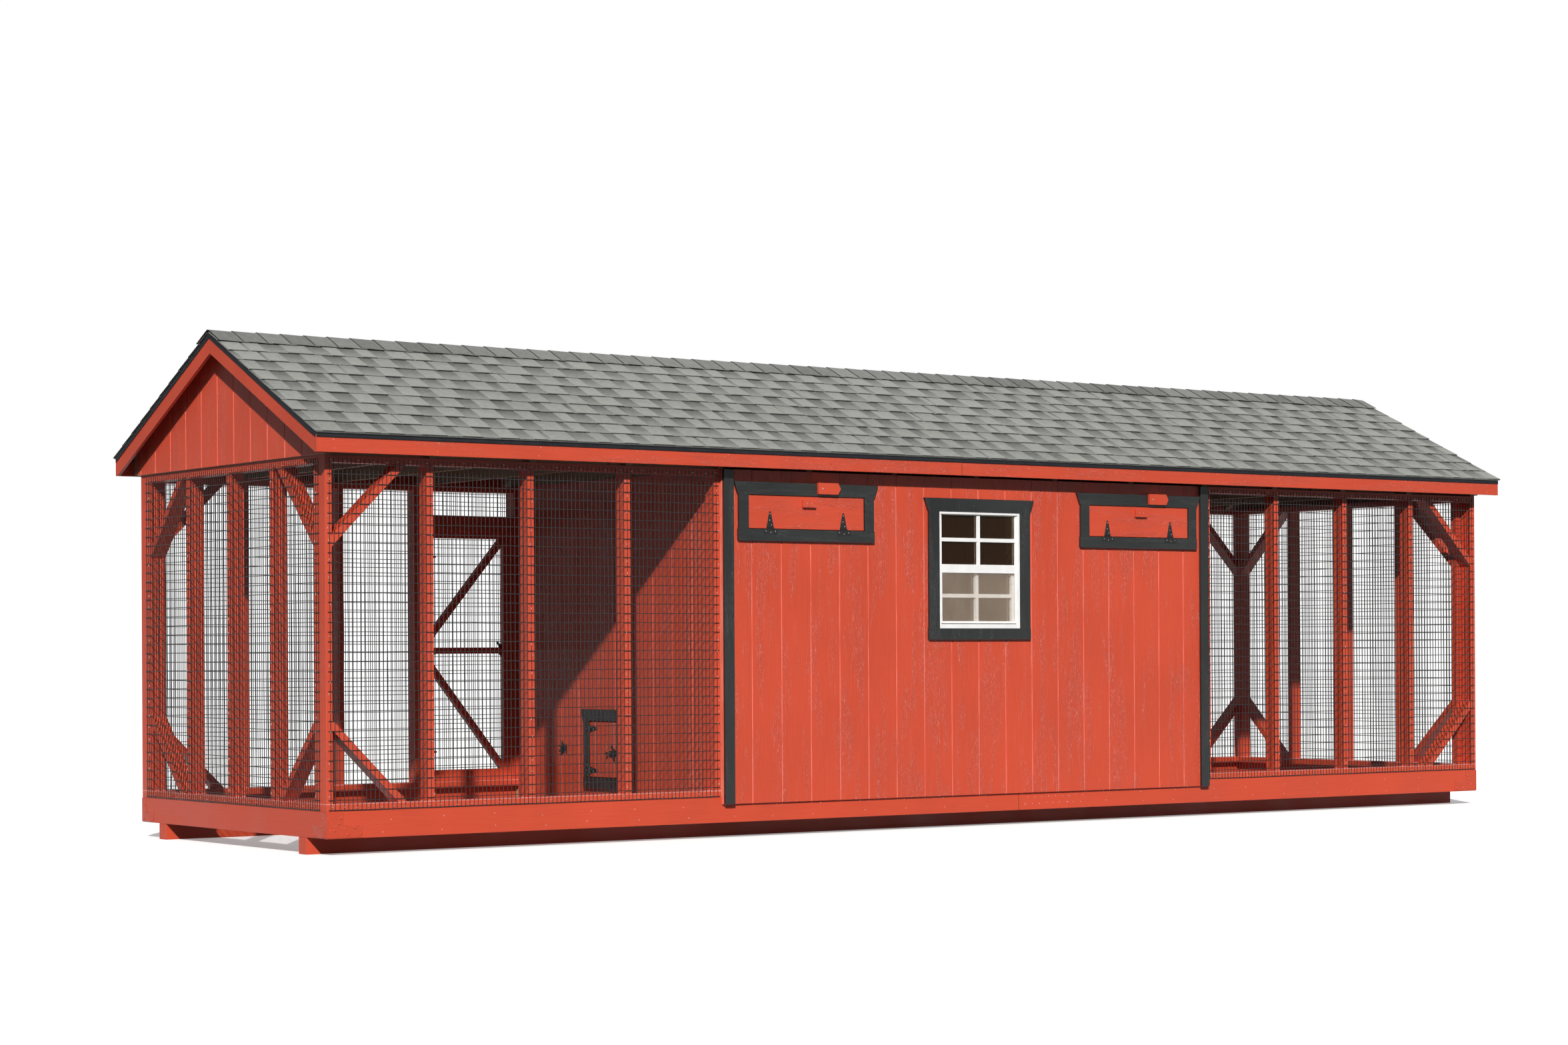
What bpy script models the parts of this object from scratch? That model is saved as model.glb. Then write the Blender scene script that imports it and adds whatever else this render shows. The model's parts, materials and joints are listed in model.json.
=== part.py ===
"""A chicken coop with a wire run at each end, under one gable roof, on two timber skids.

Run in Blender 4.5: blender --background --python part.py

The frame: the origin is on the ground under the middle of the coop, +X runs along its length,
-Y is the side with the window, and +Z is up. The coop is built from inch lumber, so sizes below
are in inches, and they become metres where a mesh is made.
"""

import math

import bmesh
import bpy
from mathutils import Matrix, Vector

INCH = 0.0254
SEAM = 0.006  # taken off each face of a piece, so that two pieces that touch stay apart

# Driving dimensions, in inches
LENGTH = 336.0  # over the base boards
WIDTH = 90.0
COOP_LENGTH = 144.0  # the closed room; what is left is two equal wire runs
SKID_HEIGHT = 3.5
SKID_OUTER_FACE = 36.0  # from the middle line
BASE_HEIGHT = 5.5  # 2x6 base boards
WALL_HEIGHT = 72.0
STUD = 1.5
DEPTH = 3.5  # a 2x4's wide face
BOARD = 0.75  # a 1x board's thickness
SHEET = 0.6  # siding
FLOOR_SHEET = 0.75
PITCH = 0.485  # the roof's rise over its run
EAVE = 4.5  # from the wall line to the fascia's face
RAKE = 4.1  # from the end wall line to the rake board's face
DECK = 0.5
SHINGLE_LIP = 0.5  # shingles beyond the fascia and the rake boards

# Levels and lines worked out from them
HALF_LENGTH = LENGTH / 2
HALF_WIDTH = WIDTH / 2
HALF_COOP = COOP_LENGTH / 2
BASE_TOP = SKID_HEIGHT + BASE_HEIGHT
WALL_TOP = BASE_TOP + WALL_HEIGHT
WALL_LOW = BASE_TOP + STUD
WALL_HIGH = WALL_TOP - STUD
INNER_LENGTH = HALF_LENGTH - DEPTH
INNER_WIDTH = HALF_WIDTH - DEPTH
SLOPE_LENGTH = math.hypot(1.0, PITCH)
FASCIA_LOW = WALL_TOP + 0.2
FASCIA_FACE = HALF_WIDTH + EAVE
RIDGE_UNDERSIDE = FASCIA_LOW + DEPTH + FASCIA_FACE * PITCH
CHORD_DROP = DEPTH * SLOPE_LENGTH  # a 3.5 inch board on the slope, measured straight down
DECK_RISE = DECK * SLOPE_LENGTH
SIDING_LOW = BASE_TOP - 1.5
GROOVE_PITCH = 8.0
PARTITION_GROOVE = -34.6  # the first groove from the front
GABLE_GROOVE = -44.2
GROOVE_WIDTH = 0.4
GROOVE_DEPTH = 0.12
TRIM_FACE = HALF_WIDTH + SHEET + BOARD
BRACE_LEG = 17.0
OVERRUN = 1.0  # how far a cutting shape runs past what it cuts
BITE = 0.1  # how far two pieces that are joined as one run into each other

# Window and vents in the front wall, pop doors in the partitions
WINDOW_HALF = 12.0
WINDOW_LOW = 46.1
WINDOW_HIGH = 73.1
VENT_X = 49.3
VENT_HALF = 15.9
VENT_LOW = 68.0
VENT_HIGH = 75.55
POP_LOW_Y = -4.0
POP_HIGH_Y = 8.0
POP_LOW = 12.0
POP_HIGH = 25.1
LAP = 0.5  # how far a flap or leaf laps over its hole's edge
ROUGH_CLEAR = 0.2  # between the window and its rough opening
LEAF_CLEAR = 0.12  # between a flap or leaf and the trim round it
LEAF = 0.45  # a flap's or a hens' door's thickness

# The walk-in door of each run, and the coop's own door, both in the rear wall
RUN_DOOR_NEAR = HALF_COOP + STUD
RUN_DOOR_FAR = HALF_COOP + 27.1
RUN_DOOR_HIGH = 70.2
RUN_DOOR_CLEAR = 0.25
COOP_DOOR_HALF = 16.0
COOP_DOOR_HIGH = 76.0
COOP_DOOR_LOW = BASE_TOP + 0.6

RED = (0.66, 0.085, 0.042)
BLACK = (0.03, 0.034, 0.036)
TIMBER = (0.55, 0.38, 0.22)
WIRE_BLACK = (0.10, 0.10, 0.10)
SLATE = (0.21, 0.215, 0.205)
WHITE = (0.86, 0.87, 0.86)
GLASS = (0.5, 0.58, 0.58)


def clear_scene():
    for obj in list(bpy.data.objects):
        bpy.data.objects.remove(obj, do_unlink=True)


def material(name, colour, roughness=0.6, metallic=0.0, alpha=1.0):
    found = bpy.data.materials.get(name)
    if found:
        return found
    made = bpy.data.materials.new(name)
    made.use_nodes = True
    shader = made.node_tree.nodes["Principled BSDF"]
    shader.inputs["Base Color"].default_value = (*colour, 1.0)
    shader.inputs["Roughness"].default_value = roughness
    shader.inputs["Metallic"].default_value = metallic
    shader.inputs["Alpha"].default_value = alpha
    return made


def red_paint():
    return material("red_paint", RED, 0.5)


def black_paint():
    return material("black_paint", BLACK, 0.45)


def plain_timber():
    return material("timber", TIMBER, 0.7)


def wire_metal():
    return material("black_wire", WIRE_BLACK, 0.5, 0.6)


def white_vinyl():
    return material("white_vinyl", WHITE, 0.35)


def pane_glass():
    return material("pane_glass", GLASS, 0.05, 0.0, 0.35)


# ---------------------------------------------------------------- shapes


def inset(points, distance):
    """Moves each edge of an anticlockwise outline inwards; a negative distance grows it."""
    count = len(points)
    moved = []
    for i in range(count):
        before = Vector(points[i - 1])
        here = Vector(points[i])
        after = Vector(points[(i + 1) % count])
        first = (here - before).normalized()
        second = (after - here).normalized()
        first_normal = Vector((-first.y, first.x))
        second_normal = Vector((-second.y, second.x))
        along = (first_normal + second_normal).normalized()
        moved.append(here + along * (distance / along.dot(first_normal)))
    return moved


def rectangle(u0, u1, v0, v1):
    return [(u0, v0), (u1, v0), (u1, v1), (u0, v1)]


def anticlockwise(points):
    area = 0.0
    for i, (x1, y1) in enumerate(points):
        x0, y0 = points[i - 1]
        area += x0 * y1 - x1 * y0
    return list(points) if area > 0 else list(reversed(points))


# How an outline's own axes (u, v, and the thickness) lie in the coop
LYING = Matrix.Identity(3)
FACING_FRONT = Matrix(((1, 0, 0), (0, 0, -1), (0, 1, 0)))  # u along X, v up, thickness to -Y
FACING_END = Matrix(((0, 0, 1), (1, 0, 0), (0, 1, 0)))  # u along Y, v up, thickness to +X


def cut_sheet(outline, holes, thickness, seam=SEAM):
    """A mesh of an outline with holes, as thick as asked, middle plane at z = 0."""
    curve = bpy.data.curves.new("outline", "CURVE")
    curve.dimensions = "2D"
    curve.fill_mode = "BOTH"
    curve.extrude = (thickness / 2 - seam) * INCH
    rings = [inset(anticlockwise(outline), seam)]
    rings += [inset(anticlockwise(hole), -seam) for hole in holes]
    for ring in rings:
        spline = curve.splines.new("POLY")
        spline.points.add(len(ring) - 1)
        for point, (u, v) in zip(spline.points, ring):
            point.co = (u * INCH, v * INCH, 0.0, 1.0)
        spline.use_cyclic_u = True
    carrier = bpy.data.objects.new("outline", curve)
    bpy.context.collection.objects.link(carrier)
    depsgraph = bpy.context.evaluated_depsgraph_get()
    mesh = bpy.data.meshes.new_from_object(carrier.evaluated_get(depsgraph))
    bpy.data.objects.remove(carrier, do_unlink=True)
    bpy.data.curves.remove(curve)
    weld(mesh)
    return mesh


def weld(mesh):
    work = bmesh.new()
    work.from_mesh(mesh)
    bmesh.ops.remove_doubles(work, verts=work.verts, dist=0.00001)
    bmesh.ops.dissolve_degenerate(work, dist=0.00001, edges=work.edges)
    bmesh.ops.recalc_face_normals(work, faces=work.faces)
    work.to_mesh(mesh)
    work.free()


def add(name, mesh, paint, pivot=(0, 0, 0), parent=None):
    """Links a mesh that lies in the coop's own place, with its origin at the pivot, in inches."""
    pivot = Vector(pivot) * INCH
    mesh.transform(Matrix.Translation(-pivot))
    mesh.name = name
    mesh.materials.clear()
    mesh.materials.append(paint)
    obj = bpy.data.objects.new(name, mesh)
    bpy.context.collection.objects.link(obj)
    obj.location = pivot
    if parent:
        obj.parent = parent
        obj.matrix_parent_inverse = Matrix.Translation(-parent.location)
    return obj


def wall_piece(name, outline, holes, low, high, turn, paint, **where):
    """A flat piece between two planes: an outline with holes, standing or lying as turned."""
    mesh = cut_sheet(outline, holes, high - low)
    along = turn.to_4x4()
    middle = turn @ Vector((0, 0, 1))
    middle = Vector([abs(c) for c in middle]) * (low + high) / 2 * INCH
    mesh.transform(Matrix.Translation(middle) @ along)
    return add(name, mesh, paint, **where)


def box_mesh(low, high, seam=SEAM):
    work = bmesh.new()
    bmesh.ops.create_cube(work, size=1.0)
    low = Vector([c + seam for c in low])
    high = Vector([c - seam for c in high])
    for vert in work.verts:
        for axis in range(3):
            vert.co[axis] = (high[axis] if vert.co[axis] > 0 else low[axis]) * INCH
    mesh = bpy.data.meshes.new("box")
    work.to_mesh(mesh)
    work.free()
    return mesh


def board(name, low, high, paint, **where):
    return add(name, box_mesh(low, high), paint, **where)


def cutter(name, meshes):
    """One hidden object that holds the shapes a Boolean takes away or joins on."""
    work = bmesh.new()
    for mesh in meshes:
        work.from_mesh(mesh)
        bpy.data.meshes.remove(mesh)
    joined = bpy.data.meshes.new(name)
    work.to_mesh(joined)
    work.free()
    obj = bpy.data.objects.new(name, joined)
    bpy.context.collection.objects.link(obj)
    obj.hide_render = True
    obj.display_type = "WIRE"
    return obj


def boolean(obj, other, operation):
    step = obj.modifiers.new(operation.lower(), "BOOLEAN")
    step.operation = operation
    step.object = other


def mirrored(points):
    return [(-u, v) for u, v in points]


# ---------------------------------------------------------------- framing


def bay(u0, u1, v0, v1, braced=()):
    """The openings of one framed bay: its rectangle, less a diagonal brace at each named corner."""
    inner = BRACE_LEG - STUD * math.sqrt(2)
    corners = {"low_left": (u0, v0, 1, 1), "low_right": (u1, v0, -1, 1),
               "high_right": (u1, v1, -1, -1), "high_left": (u0, v1, 1, -1)}
    rest = []
    openings = []
    for place, (u, v, across, up) in corners.items():
        if place not in braced:
            rest.append((u, v))
            continue
        along = (u + across * BRACE_LEG, v)
        rising = (u, v + up * BRACE_LEG)
        rest += [rising, along] if place in ("low_left", "high_right") else [along, rising]
        openings.append([(u, v), (u + across * inner, v), (u, v + up * inner)])
    openings.append(rest)
    return openings


def bays_between(studs, low=WALL_LOW, high=WALL_HIGH, left=False, right=False):
    """Bays between studs given by their left edges, braced at the left or right end if asked."""
    openings = []
    for i in range(len(studs) - 1):
        braced = []
        if left and i == 0:
            braced += ["low_left", "high_left"]
        if right and i == len(studs) - 2:
            braced += ["low_right", "high_right"]
        openings += bay(studs[i] + STUD, studs[i + 1], low, high, braced)
    return openings


def run_studs(side):
    """Left edges of a run's studs, 24 inches apart; side is -1 for the left run."""
    outer = -HALF_LENGTH if side < 0 else HALF_COOP
    return [outer + start for start in (0.0, 23.25, 47.25, 71.25, 94.5)]


def run_long_frame(name, side, front):
    left, right = side < 0, side > 0
    studs = run_studs(side)
    start, end = studs[0], studs[-1] + STUD
    if front:
        openings = bays_between(studs, left=left, right=right)
        low, high = -HALF_WIDTH, -INNER_WIDTH
    else:
        near, far = side * RUN_DOOR_NEAR, side * RUN_DOOR_FAR
        door = sorted((near, far))
        post = far - STUD if left else far
        room = STUD + 1.0  # a stud nearer than this to the doorway gives way to its post
        kept = [s for s in studs if s + STUD < door[0] - room or s > door[1] + room]
        kept = sorted(kept + [post])
        openings = bays_between(kept, left=left, right=right)
        openings.append(rectangle(door[0], door[1], WALL_LOW, RUN_DOOR_HIGH))
        openings.append(rectangle(door[0], door[1], RUN_DOOR_HIGH + DEPTH, WALL_HIGH))
        low, high = INNER_WIDTH, HALF_WIDTH
    outline = rectangle(start, end, BASE_TOP, WALL_TOP)
    return wall_piece(name, outline, openings, low, high, FACING_FRONT, red_paint())


def run_end_frame(name, side):
    spacing = (2 * INNER_WIDTH - STUD) / 4
    studs = [-INNER_WIDTH + i * spacing for i in range(5)]
    openings = bays_between(studs, left=True, right=True)
    outline = rectangle(-INNER_WIDTH, INNER_WIDTH, BASE_TOP, WALL_TOP)
    low, high = sorted((side * INNER_LENGTH, side * HALF_LENGTH))
    return wall_piece(name, outline, openings, low, high, FACING_END, red_paint())


def front_wall_openings():
    """The coop's front wall: a window bay, and a vent bay on each side of it."""
    rough = WINDOW_HALF + ROUGH_CLEAR
    sill, header = WINDOW_LOW - ROUGH_CLEAR, WINDOW_HIGH + ROUGH_CLEAR
    vent = VENT_HALF - LAP
    sides = []
    sides.append(rectangle(-HALF_COOP + STUD, -VENT_X - vent - STUD, WALL_LOW, WALL_HIGH))
    sides.append(rectangle(-VENT_X - vent, -VENT_X - STUD / 2, WALL_LOW, VENT_LOW - STUD))
    sides.append(rectangle(-VENT_X + STUD / 2, -VENT_X + vent, WALL_LOW, VENT_LOW - STUD))
    sides.append(rectangle(-VENT_X - vent, -VENT_X + vent, VENT_LOW + LAP, VENT_HIGH - LAP))
    sides.append(rectangle(-VENT_X + vent + STUD, -rough - STUD, WALL_LOW, WALL_HIGH))
    middle = [rectangle(-rough, rough, WALL_LOW, sill - STUD),
              rectangle(-rough, rough, sill, header),
              rectangle(-rough, rough, header + STUD, WALL_HIGH)]
    return sides + [mirrored(hole) for hole in sides] + middle


REAR_STUDS = (-49.5, -33.0)  # left edges, between the corner and the door post
PARTITION_STUD = 26.0  # from the middle line


def rear_wall_openings():
    door = COOP_DOOR_HALF - LAP
    sides = bays_between([-HALF_COOP, *REAR_STUDS, -door - STUD])
    middle = [rectangle(-door, door, WALL_LOW, COOP_DOOR_HIGH - LAP)]
    return sides + [mirrored(hole) for hole in sides] + middle


def partition_openings():
    low, high = POP_LOW_Y + LAP, POP_HIGH_Y - LAP
    front = bays_between([-INNER_WIDTH, -PARTITION_STUD, low - STUD])
    rear = bays_between([high, PARTITION_STUD, INNER_WIDTH - STUD])
    middle = [rectangle(low, high, POP_LOW + LAP, POP_HIGH - LAP),
              rectangle(low, high, POP_HIGH - LAP + STUD, WALL_HIGH)]
    return front + middle + rear


def coop_wall_frame():
    """The room's four stud walls, nailed together into one ring."""
    long_wall = rectangle(-HALF_COOP, HALF_COOP, BASE_TOP, WALL_TOP)
    meet = INNER_WIDTH + BITE
    shy = 0.03  # keeps the side walls' faces off the long walls' planes
    side_wall = rectangle(-meet, meet, BASE_TOP + shy, WALL_TOP - shy)
    front = wall_piece("coop_wall_frame", long_wall, front_wall_openings(),
                       -HALF_WIDTH, -INNER_WIDTH, FACING_FRONT, plain_timber())
    rear = wall_piece("rear_wall_shape", long_wall, rear_wall_openings(),
                      INNER_WIDTH, HALF_WIDTH, FACING_FRONT, plain_timber())
    for side in (-1, 1):
        low, high = sorted((side * (HALF_COOP - shy), side * (HALF_COOP - DEPTH)))
        partition = wall_piece("partition_shape", side_wall, partition_openings(),
                               low, high, FACING_END, plain_timber())
        hide_and_join(front, partition)
    hide_and_join(front, rear)
    return front


def hide_and_join(obj, shape):
    shape.hide_render = True
    shape.display_type = "WIRE"
    boolean(obj, shape, "UNION")


# ---------------------------------------------------------------- base


def skid(name, side):
    low, high = sorted((side * (SKID_OUTER_FACE - DEPTH), side * SKID_OUTER_FACE))
    mesh = box_mesh((-HALF_LENGTH, low, -SEAM), (HALF_LENGTH, high, SKID_HEIGHT))
    return add(name, mesh, red_paint())


def long_base_board(name, side):
    low, high = sorted((side * (HALF_WIDTH - STUD), side * HALF_WIDTH))
    return board(name, (-HALF_LENGTH, low, SKID_HEIGHT), (HALF_LENGTH, high, BASE_TOP),
                 red_paint())


def end_base_board(name, side):
    low, high = sorted((side * (HALF_LENGTH - STUD), side * HALF_LENGTH))
    reach = HALF_WIDTH - STUD
    return board(name, (low, -reach, SKID_HEIGHT), (high, reach, BASE_TOP), red_paint())


JOISTS = 7


def coop_floor():
    """The room's floor sheet on its joists, as one comb-shaped piece."""
    under = BASE_TOP - FLOOR_SHEET
    spacing = (COOP_LENGTH - STUD) / (JOISTS - 1)
    outline = [(-HALF_COOP, BASE_TOP)]
    for i in range(JOISTS):
        start = -HALF_COOP + i * spacing
        outline += [(start, under)] if i else []
        outline += [(start, SKID_HEIGHT), (start + STUD, SKID_HEIGHT)]
        outline += [(start + STUD, under)] if i < JOISTS - 1 else []
    outline.append((HALF_COOP, BASE_TOP))
    reach = HALF_WIDTH - STUD
    return wall_piece("coop_floor", outline, [], -reach, reach, FACING_FRONT, plain_timber())


# ---------------------------------------------------------------- siding


def groove_lines(first, high):
    """A groove at each pitch from the first one on, none of them over the sheet's edge."""
    count = int((high - GROOVE_WIDTH - first) / GROOVE_PITCH) + 1
    return [first + i * GROOVE_PITCH for i in range(count)]


def grooved(obj, lines, face, outward, turn, low, high):
    """Cuts an upright groove at each line into the sheet's outer face."""
    depth = sorted((face + outward * OVERRUN, face - outward * GROOVE_DEPTH))
    half = GROOVE_WIDTH / 2
    low, high = low - OVERRUN, high + OVERRUN
    meshes = []
    for at in lines:
        if turn is FACING_FRONT:
            meshes.append(box_mesh((at - half, depth[0], low), (at + half, depth[1], high), 0))
        else:
            meshes.append(box_mesh((depth[0], at - half, low), (depth[1], at + half, high), 0))
    boolean(obj, cutter(obj.name + "_grooves", meshes), "DIFFERENCE")


def front_siding():
    vent = rectangle(-VENT_HALF + LAP, VENT_HALF - LAP, VENT_LOW + LAP, VENT_HIGH - LAP)
    holes = [rectangle(-WINDOW_HALF, WINDOW_HALF, WINDOW_LOW, WINDOW_HIGH)]
    holes += [[(u + side * VENT_X, v) for u, v in vent] for side in (-1, 1)]
    outline = rectangle(-HALF_COOP, HALF_COOP, SIDING_LOW, WALL_TOP)
    face = -HALF_WIDTH - SHEET
    obj = wall_piece("siding_front", outline, holes, face, -HALF_WIDTH, FACING_FRONT, red_paint())
    lines = groove_lines(-HALF_COOP + GROOVE_PITCH, HALF_COOP)
    grooved(obj, lines, face, -1, FACING_FRONT, SIDING_LOW, WALL_TOP)


def rear_siding():
    door = COOP_DOOR_HALF - LAP
    holes = [rectangle(-door, door, COOP_DOOR_LOW + LAP, COOP_DOOR_HIGH - LAP)]
    outline = rectangle(-HALF_COOP, HALF_COOP, SIDING_LOW, WALL_TOP)
    face = HALF_WIDTH + SHEET
    obj = wall_piece("siding_rear", outline, holes, HALF_WIDTH, face, FACING_FRONT, red_paint())
    lines = groove_lines(-HALF_COOP + GROOVE_PITCH, HALF_COOP)
    grooved(obj, lines, face, 1, FACING_FRONT, SIDING_LOW, WALL_TOP)


def partition_siding(name, side):
    """The sheet on the run's side of a partition, with the pop door's hole."""
    holes = [rectangle(POP_LOW_Y + LAP, POP_HIGH_Y - LAP, POP_LOW + LAP, POP_HIGH - LAP)]
    outline = rectangle(-INNER_WIDTH, INNER_WIDTH, SKID_HEIGHT, WALL_TOP)
    face = side * (HALF_COOP + SHEET)
    low, high = sorted((side * HALF_COOP, face))
    obj = wall_piece(name, outline, holes, low, high, FACING_END, red_paint())
    lines = groove_lines(PARTITION_GROOVE, INNER_WIDTH)
    grooved(obj, lines, face, side, FACING_END, SKID_HEIGHT, WALL_TOP)


def gable_siding(name, side):
    reach = HALF_WIDTH + SHEET
    shoulder = RIDGE_UNDERSIDE - reach * PITCH
    outline = [(-reach, FASCIA_LOW), (reach, FASCIA_LOW), (reach, shoulder),
               (0.0, RIDGE_UNDERSIDE), (-reach, shoulder)]
    face = side * (HALF_LENGTH + SHEET)
    low, high = sorted((side * HALF_LENGTH, face))
    obj = wall_piece(name, outline, [], low, high, FACING_END, red_paint())
    lines = groove_lines(GABLE_GROOVE, reach)
    grooved(obj, lines, face, side, FACING_END, FASCIA_LOW, RIDGE_UNDERSIDE)


CORNER_SETBACK = 0.25
CORNER_WIDTH = 2.55


def corner_board(name, side, facing):
    near = HALF_COOP - CORNER_SETBACK
    x0, x1 = sorted((side * near, side * (near - CORNER_WIDTH)))
    y0, y1 = sorted((facing * (HALF_WIDTH + SHEET), facing * TRIM_FACE))
    return board(name, (x0, y0, SIDING_LOW), (x1, y1, WALL_TOP - BITE), black_paint())


# ---------------------------------------------------------------- roof


def truss_outline():
    tail = FASCIA_FACE - BOARD
    top = RIDGE_UNDERSIDE
    low = top - CHORD_DROP
    half = [(HALF_WIDTH, WALL_TOP), (HALF_WIDTH, low - HALF_WIDTH * PITCH),
            (tail, low - tail * PITCH), (tail, top - tail * PITCH)]
    left = [(-u, v) for u, v in reversed(half)]
    return half + [(0.0, top)] + left


TRUSSES = 15
TIE_SETBACK = 0.3  # of the tie's ends from the outer trusses' faces
TIE_DEPTH = 3.8


def roof_trusses():
    """The trusses, tied together by one board under the ridge."""
    low = RIDGE_UNDERSIDE - CHORD_DROP
    chord_top = WALL_TOP + DEPTH
    inner = (low - chord_top) / PITCH
    hole = [(-inner, chord_top), (inner, chord_top), (0.0, low)]
    spacing = (LENGTH - STUD) / (TRUSSES - 1)
    trusses = []
    for i in range(TRUSSES):
        start = -HALF_LENGTH + i * spacing
        mesh = cut_sheet(truss_outline(), [hole], STUD)
        middle = Vector(((start + STUD / 2) * INCH, 0, 0))
        mesh.transform(Matrix.Translation(middle) @ FACING_END.to_4x4())
        trusses.append(mesh)
    reach = HALF_LENGTH - TIE_SETBACK
    half, tie_low = STUD / 2, low - TIE_DEPTH / 2
    tie = box_mesh((-reach, -half, tie_low), (reach, half, tie_low + TIE_DEPTH), 0)
    obj = add("roof_trusses", tie, plain_timber())
    boolean(obj, cutter("truss_shapes", trusses), "UNION")
    return obj


def slope_profile(side, y0, y1, low, high):
    """A slab of the roof's cross-section between two distances from the ridge line."""
    points = [(y0, -y0 * PITCH + low), (y1, -y1 * PITCH + low),
              (y1, -y1 * PITCH + high), (y0, -y0 * PITCH + high)]
    points = [(u, v + RIDGE_UNDERSIDE) for u, v in points]
    return points if side > 0 else mirrored(points)


def roof_deck(name, side):
    outline = slope_profile(side, 0.0, FASCIA_FACE, 0.0, DECK_RISE)
    reach = HALF_LENGTH + RAKE
    paint = material("roof_sheet", TIMBER, 0.8)
    return wall_piece(name, outline, [], -reach, reach, FACING_END, paint)


COURSES = 10
SHINGLE_LOW = 0.16
SHINGLE_RISE = 0.26


def shingles(name, side):
    """One slope of shingles: each course laps the one below and ends in a butt edge."""
    base = DECK_RISE
    edge = FASCIA_FACE + SHINGLE_LIP
    step = edge / COURSES
    outline = [(0.0, base), (edge, base - edge * PITCH)]
    for i in range(COURSES):
        butt = edge - i * step
        outline.append((butt, base + SHINGLE_LOW + SHINGLE_RISE - butt * PITCH))
        head = butt - step
        outline.append((head, base + SHINGLE_LOW - head * PITCH))
    outline = [(u, v + RIDGE_UNDERSIDE) for u, v in outline]
    outline = outline if side > 0 else mirrored(outline)
    reach = HALF_LENGTH + RAKE + SHINGLE_LIP
    return wall_piece(name, outline, [], -reach, reach, FACING_END,
                      material("shingle", SLATE, 0.9))


CAP_HALF = 5.6  # from the ridge line to the cap's edge, across
CAP_RISE = 0.34


def ridge_cap():
    """Bent shingles over the ridge, as one folded strip."""
    half = CAP_HALF
    low = RIDGE_UNDERSIDE + DECK_RISE + SHINGLE_LOW + SHINGLE_RISE + 2 * SEAM
    high = low + CAP_RISE
    outline = [(half, low - half * PITCH), (half, high - half * PITCH), (0.0, high),
               (-half, high - half * PITCH), (-half, low - half * PITCH), (0.0, low)]
    reach = HALF_LENGTH + RAKE + SHINGLE_LIP
    return wall_piece("ridge_cap", outline, [], -reach, reach, FACING_END,
                      material("shingle", SLATE, 0.9))


def fascia(name, side):
    reach = HALF_LENGTH + RAKE - BOARD
    low, high = sorted((side * (FASCIA_FACE - BOARD), side * FASCIA_FACE))
    return board(name, (-reach, low, FASCIA_LOW), (reach, high, FASCIA_LOW + DEPTH), red_paint())


def rake_board(name, side):
    """The pair of boards under a gable's roof edge, mitred together at the peak."""
    top = RIDGE_UNDERSIDE
    low = top - CHORD_DROP
    seat = (low - FASCIA_LOW) / PITCH
    half = [(seat, FASCIA_LOW), (FASCIA_FACE, FASCIA_LOW),
            (FASCIA_FACE, top - FASCIA_FACE * PITCH)]
    outline = half + [(0.0, top)] + [(-u, v) for u, v in reversed(half)] + [(0.0, low)]
    face = HALF_LENGTH + RAKE
    ends = sorted((side * (face - BOARD), side * face))
    return wall_piece(name, outline, [], ends[0], ends[1], FACING_END, red_paint())


# ---------------------------------------------------------------- wire


WIRE_SHEET = 0.06
WIRE_SHY = 0.5  # from a panel's edge to the edge of the frame that it is stapled to
END_WIRE_SHY = 2.6


def long_wire(name, side, facing):
    """The wire stapled over a run's long frame, cut away round the door at the rear."""
    u0, u1 = sorted((side * (HALF_LENGTH - WIRE_SHY), side * (HALF_COOP + WIRE_SHY)))
    outline = rectangle(u0, u1, BASE_TOP + BITE, WALL_TOP - WIRE_SHY)
    holes = []
    if facing > 0:
        near, far = RUN_DOOR_NEAR - WIRE_SHY, RUN_DOOR_FAR + WIRE_SHY
        door = sorted((side * near, side * far))
        holes = [rectangle(door[0], door[1], WALL_LOW - WIRE_SHY, RUN_DOOR_HIGH + WIRE_SHY)]
    low, high = sorted((facing * HALF_WIDTH, facing * (HALF_WIDTH + WIRE_SHEET)))
    return wall_piece(name, outline, holes, low, high, FACING_FRONT, wire_metal())


def end_wire(name, side):
    reach = HALF_WIDTH - END_WIRE_SHY
    outline = rectangle(-reach, reach, BASE_TOP + BITE, WALL_TOP - WIRE_SHY)
    low, high = sorted((side * HALF_LENGTH, side * (HALF_LENGTH + WIRE_SHEET)))
    return wall_piece(name, outline, [], low, high, FACING_END, wire_metal())


# ---------------------------------------------------------------- window


def pane_holes(u0, u1, v0, v1, bar):
    """Four panes between bars that cross in the middle."""
    um, vm = (u0 + u1) / 2, (v0 + v1) / 2
    half = bar / 2
    return [rectangle(u0, um - half, v0, vm - half), rectangle(um + half, u1, v0, vm - half),
            rectangle(um + half, u1, vm + half, v1), rectangle(u0, um - half, vm + half, v1)]


FRAME_FACE = HALF_WIDTH + SHEET + 0.5
FRAME_BACK = FRAME_FACE - 2.5
FRAME_SIDE = 0.65
FRAME_SILL = 1.0
PANE = 0.15
UPPER_STILE = 0.45
UPPER_RAIL = 0.2
LOWER_STILE = 0.95
LOWER_RAIL = 0.6
MEETING_LOW = WINDOW_LOW + 13.1
MEETING_HIGH = MEETING_LOW + 1.7
MEETING_RAIL = 1.3
BAR = 0.9
UPPER_SETBACK = 0.4  # of the upper sash behind the frame's face
UPPER_THICK = 0.45
LOWER_SETBACK = 1.1
LOWER_THICK = 0.8

# The trim round the window and the vents: flat boards under a header with slanted ends
SILL_TRIM = 2.6
SILL_EAR = 0.15  # the sill board beyond the jamb board
HEADER_EAR = 1.25
WINDOW_JAMB = 2.95
WINDOW_HEADER = 3.0
VENT_JAMB = 2.6
VENT_HEADER = 2.85
POP_JAMB = 2.3
POP_HEADER = 2.7


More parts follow.
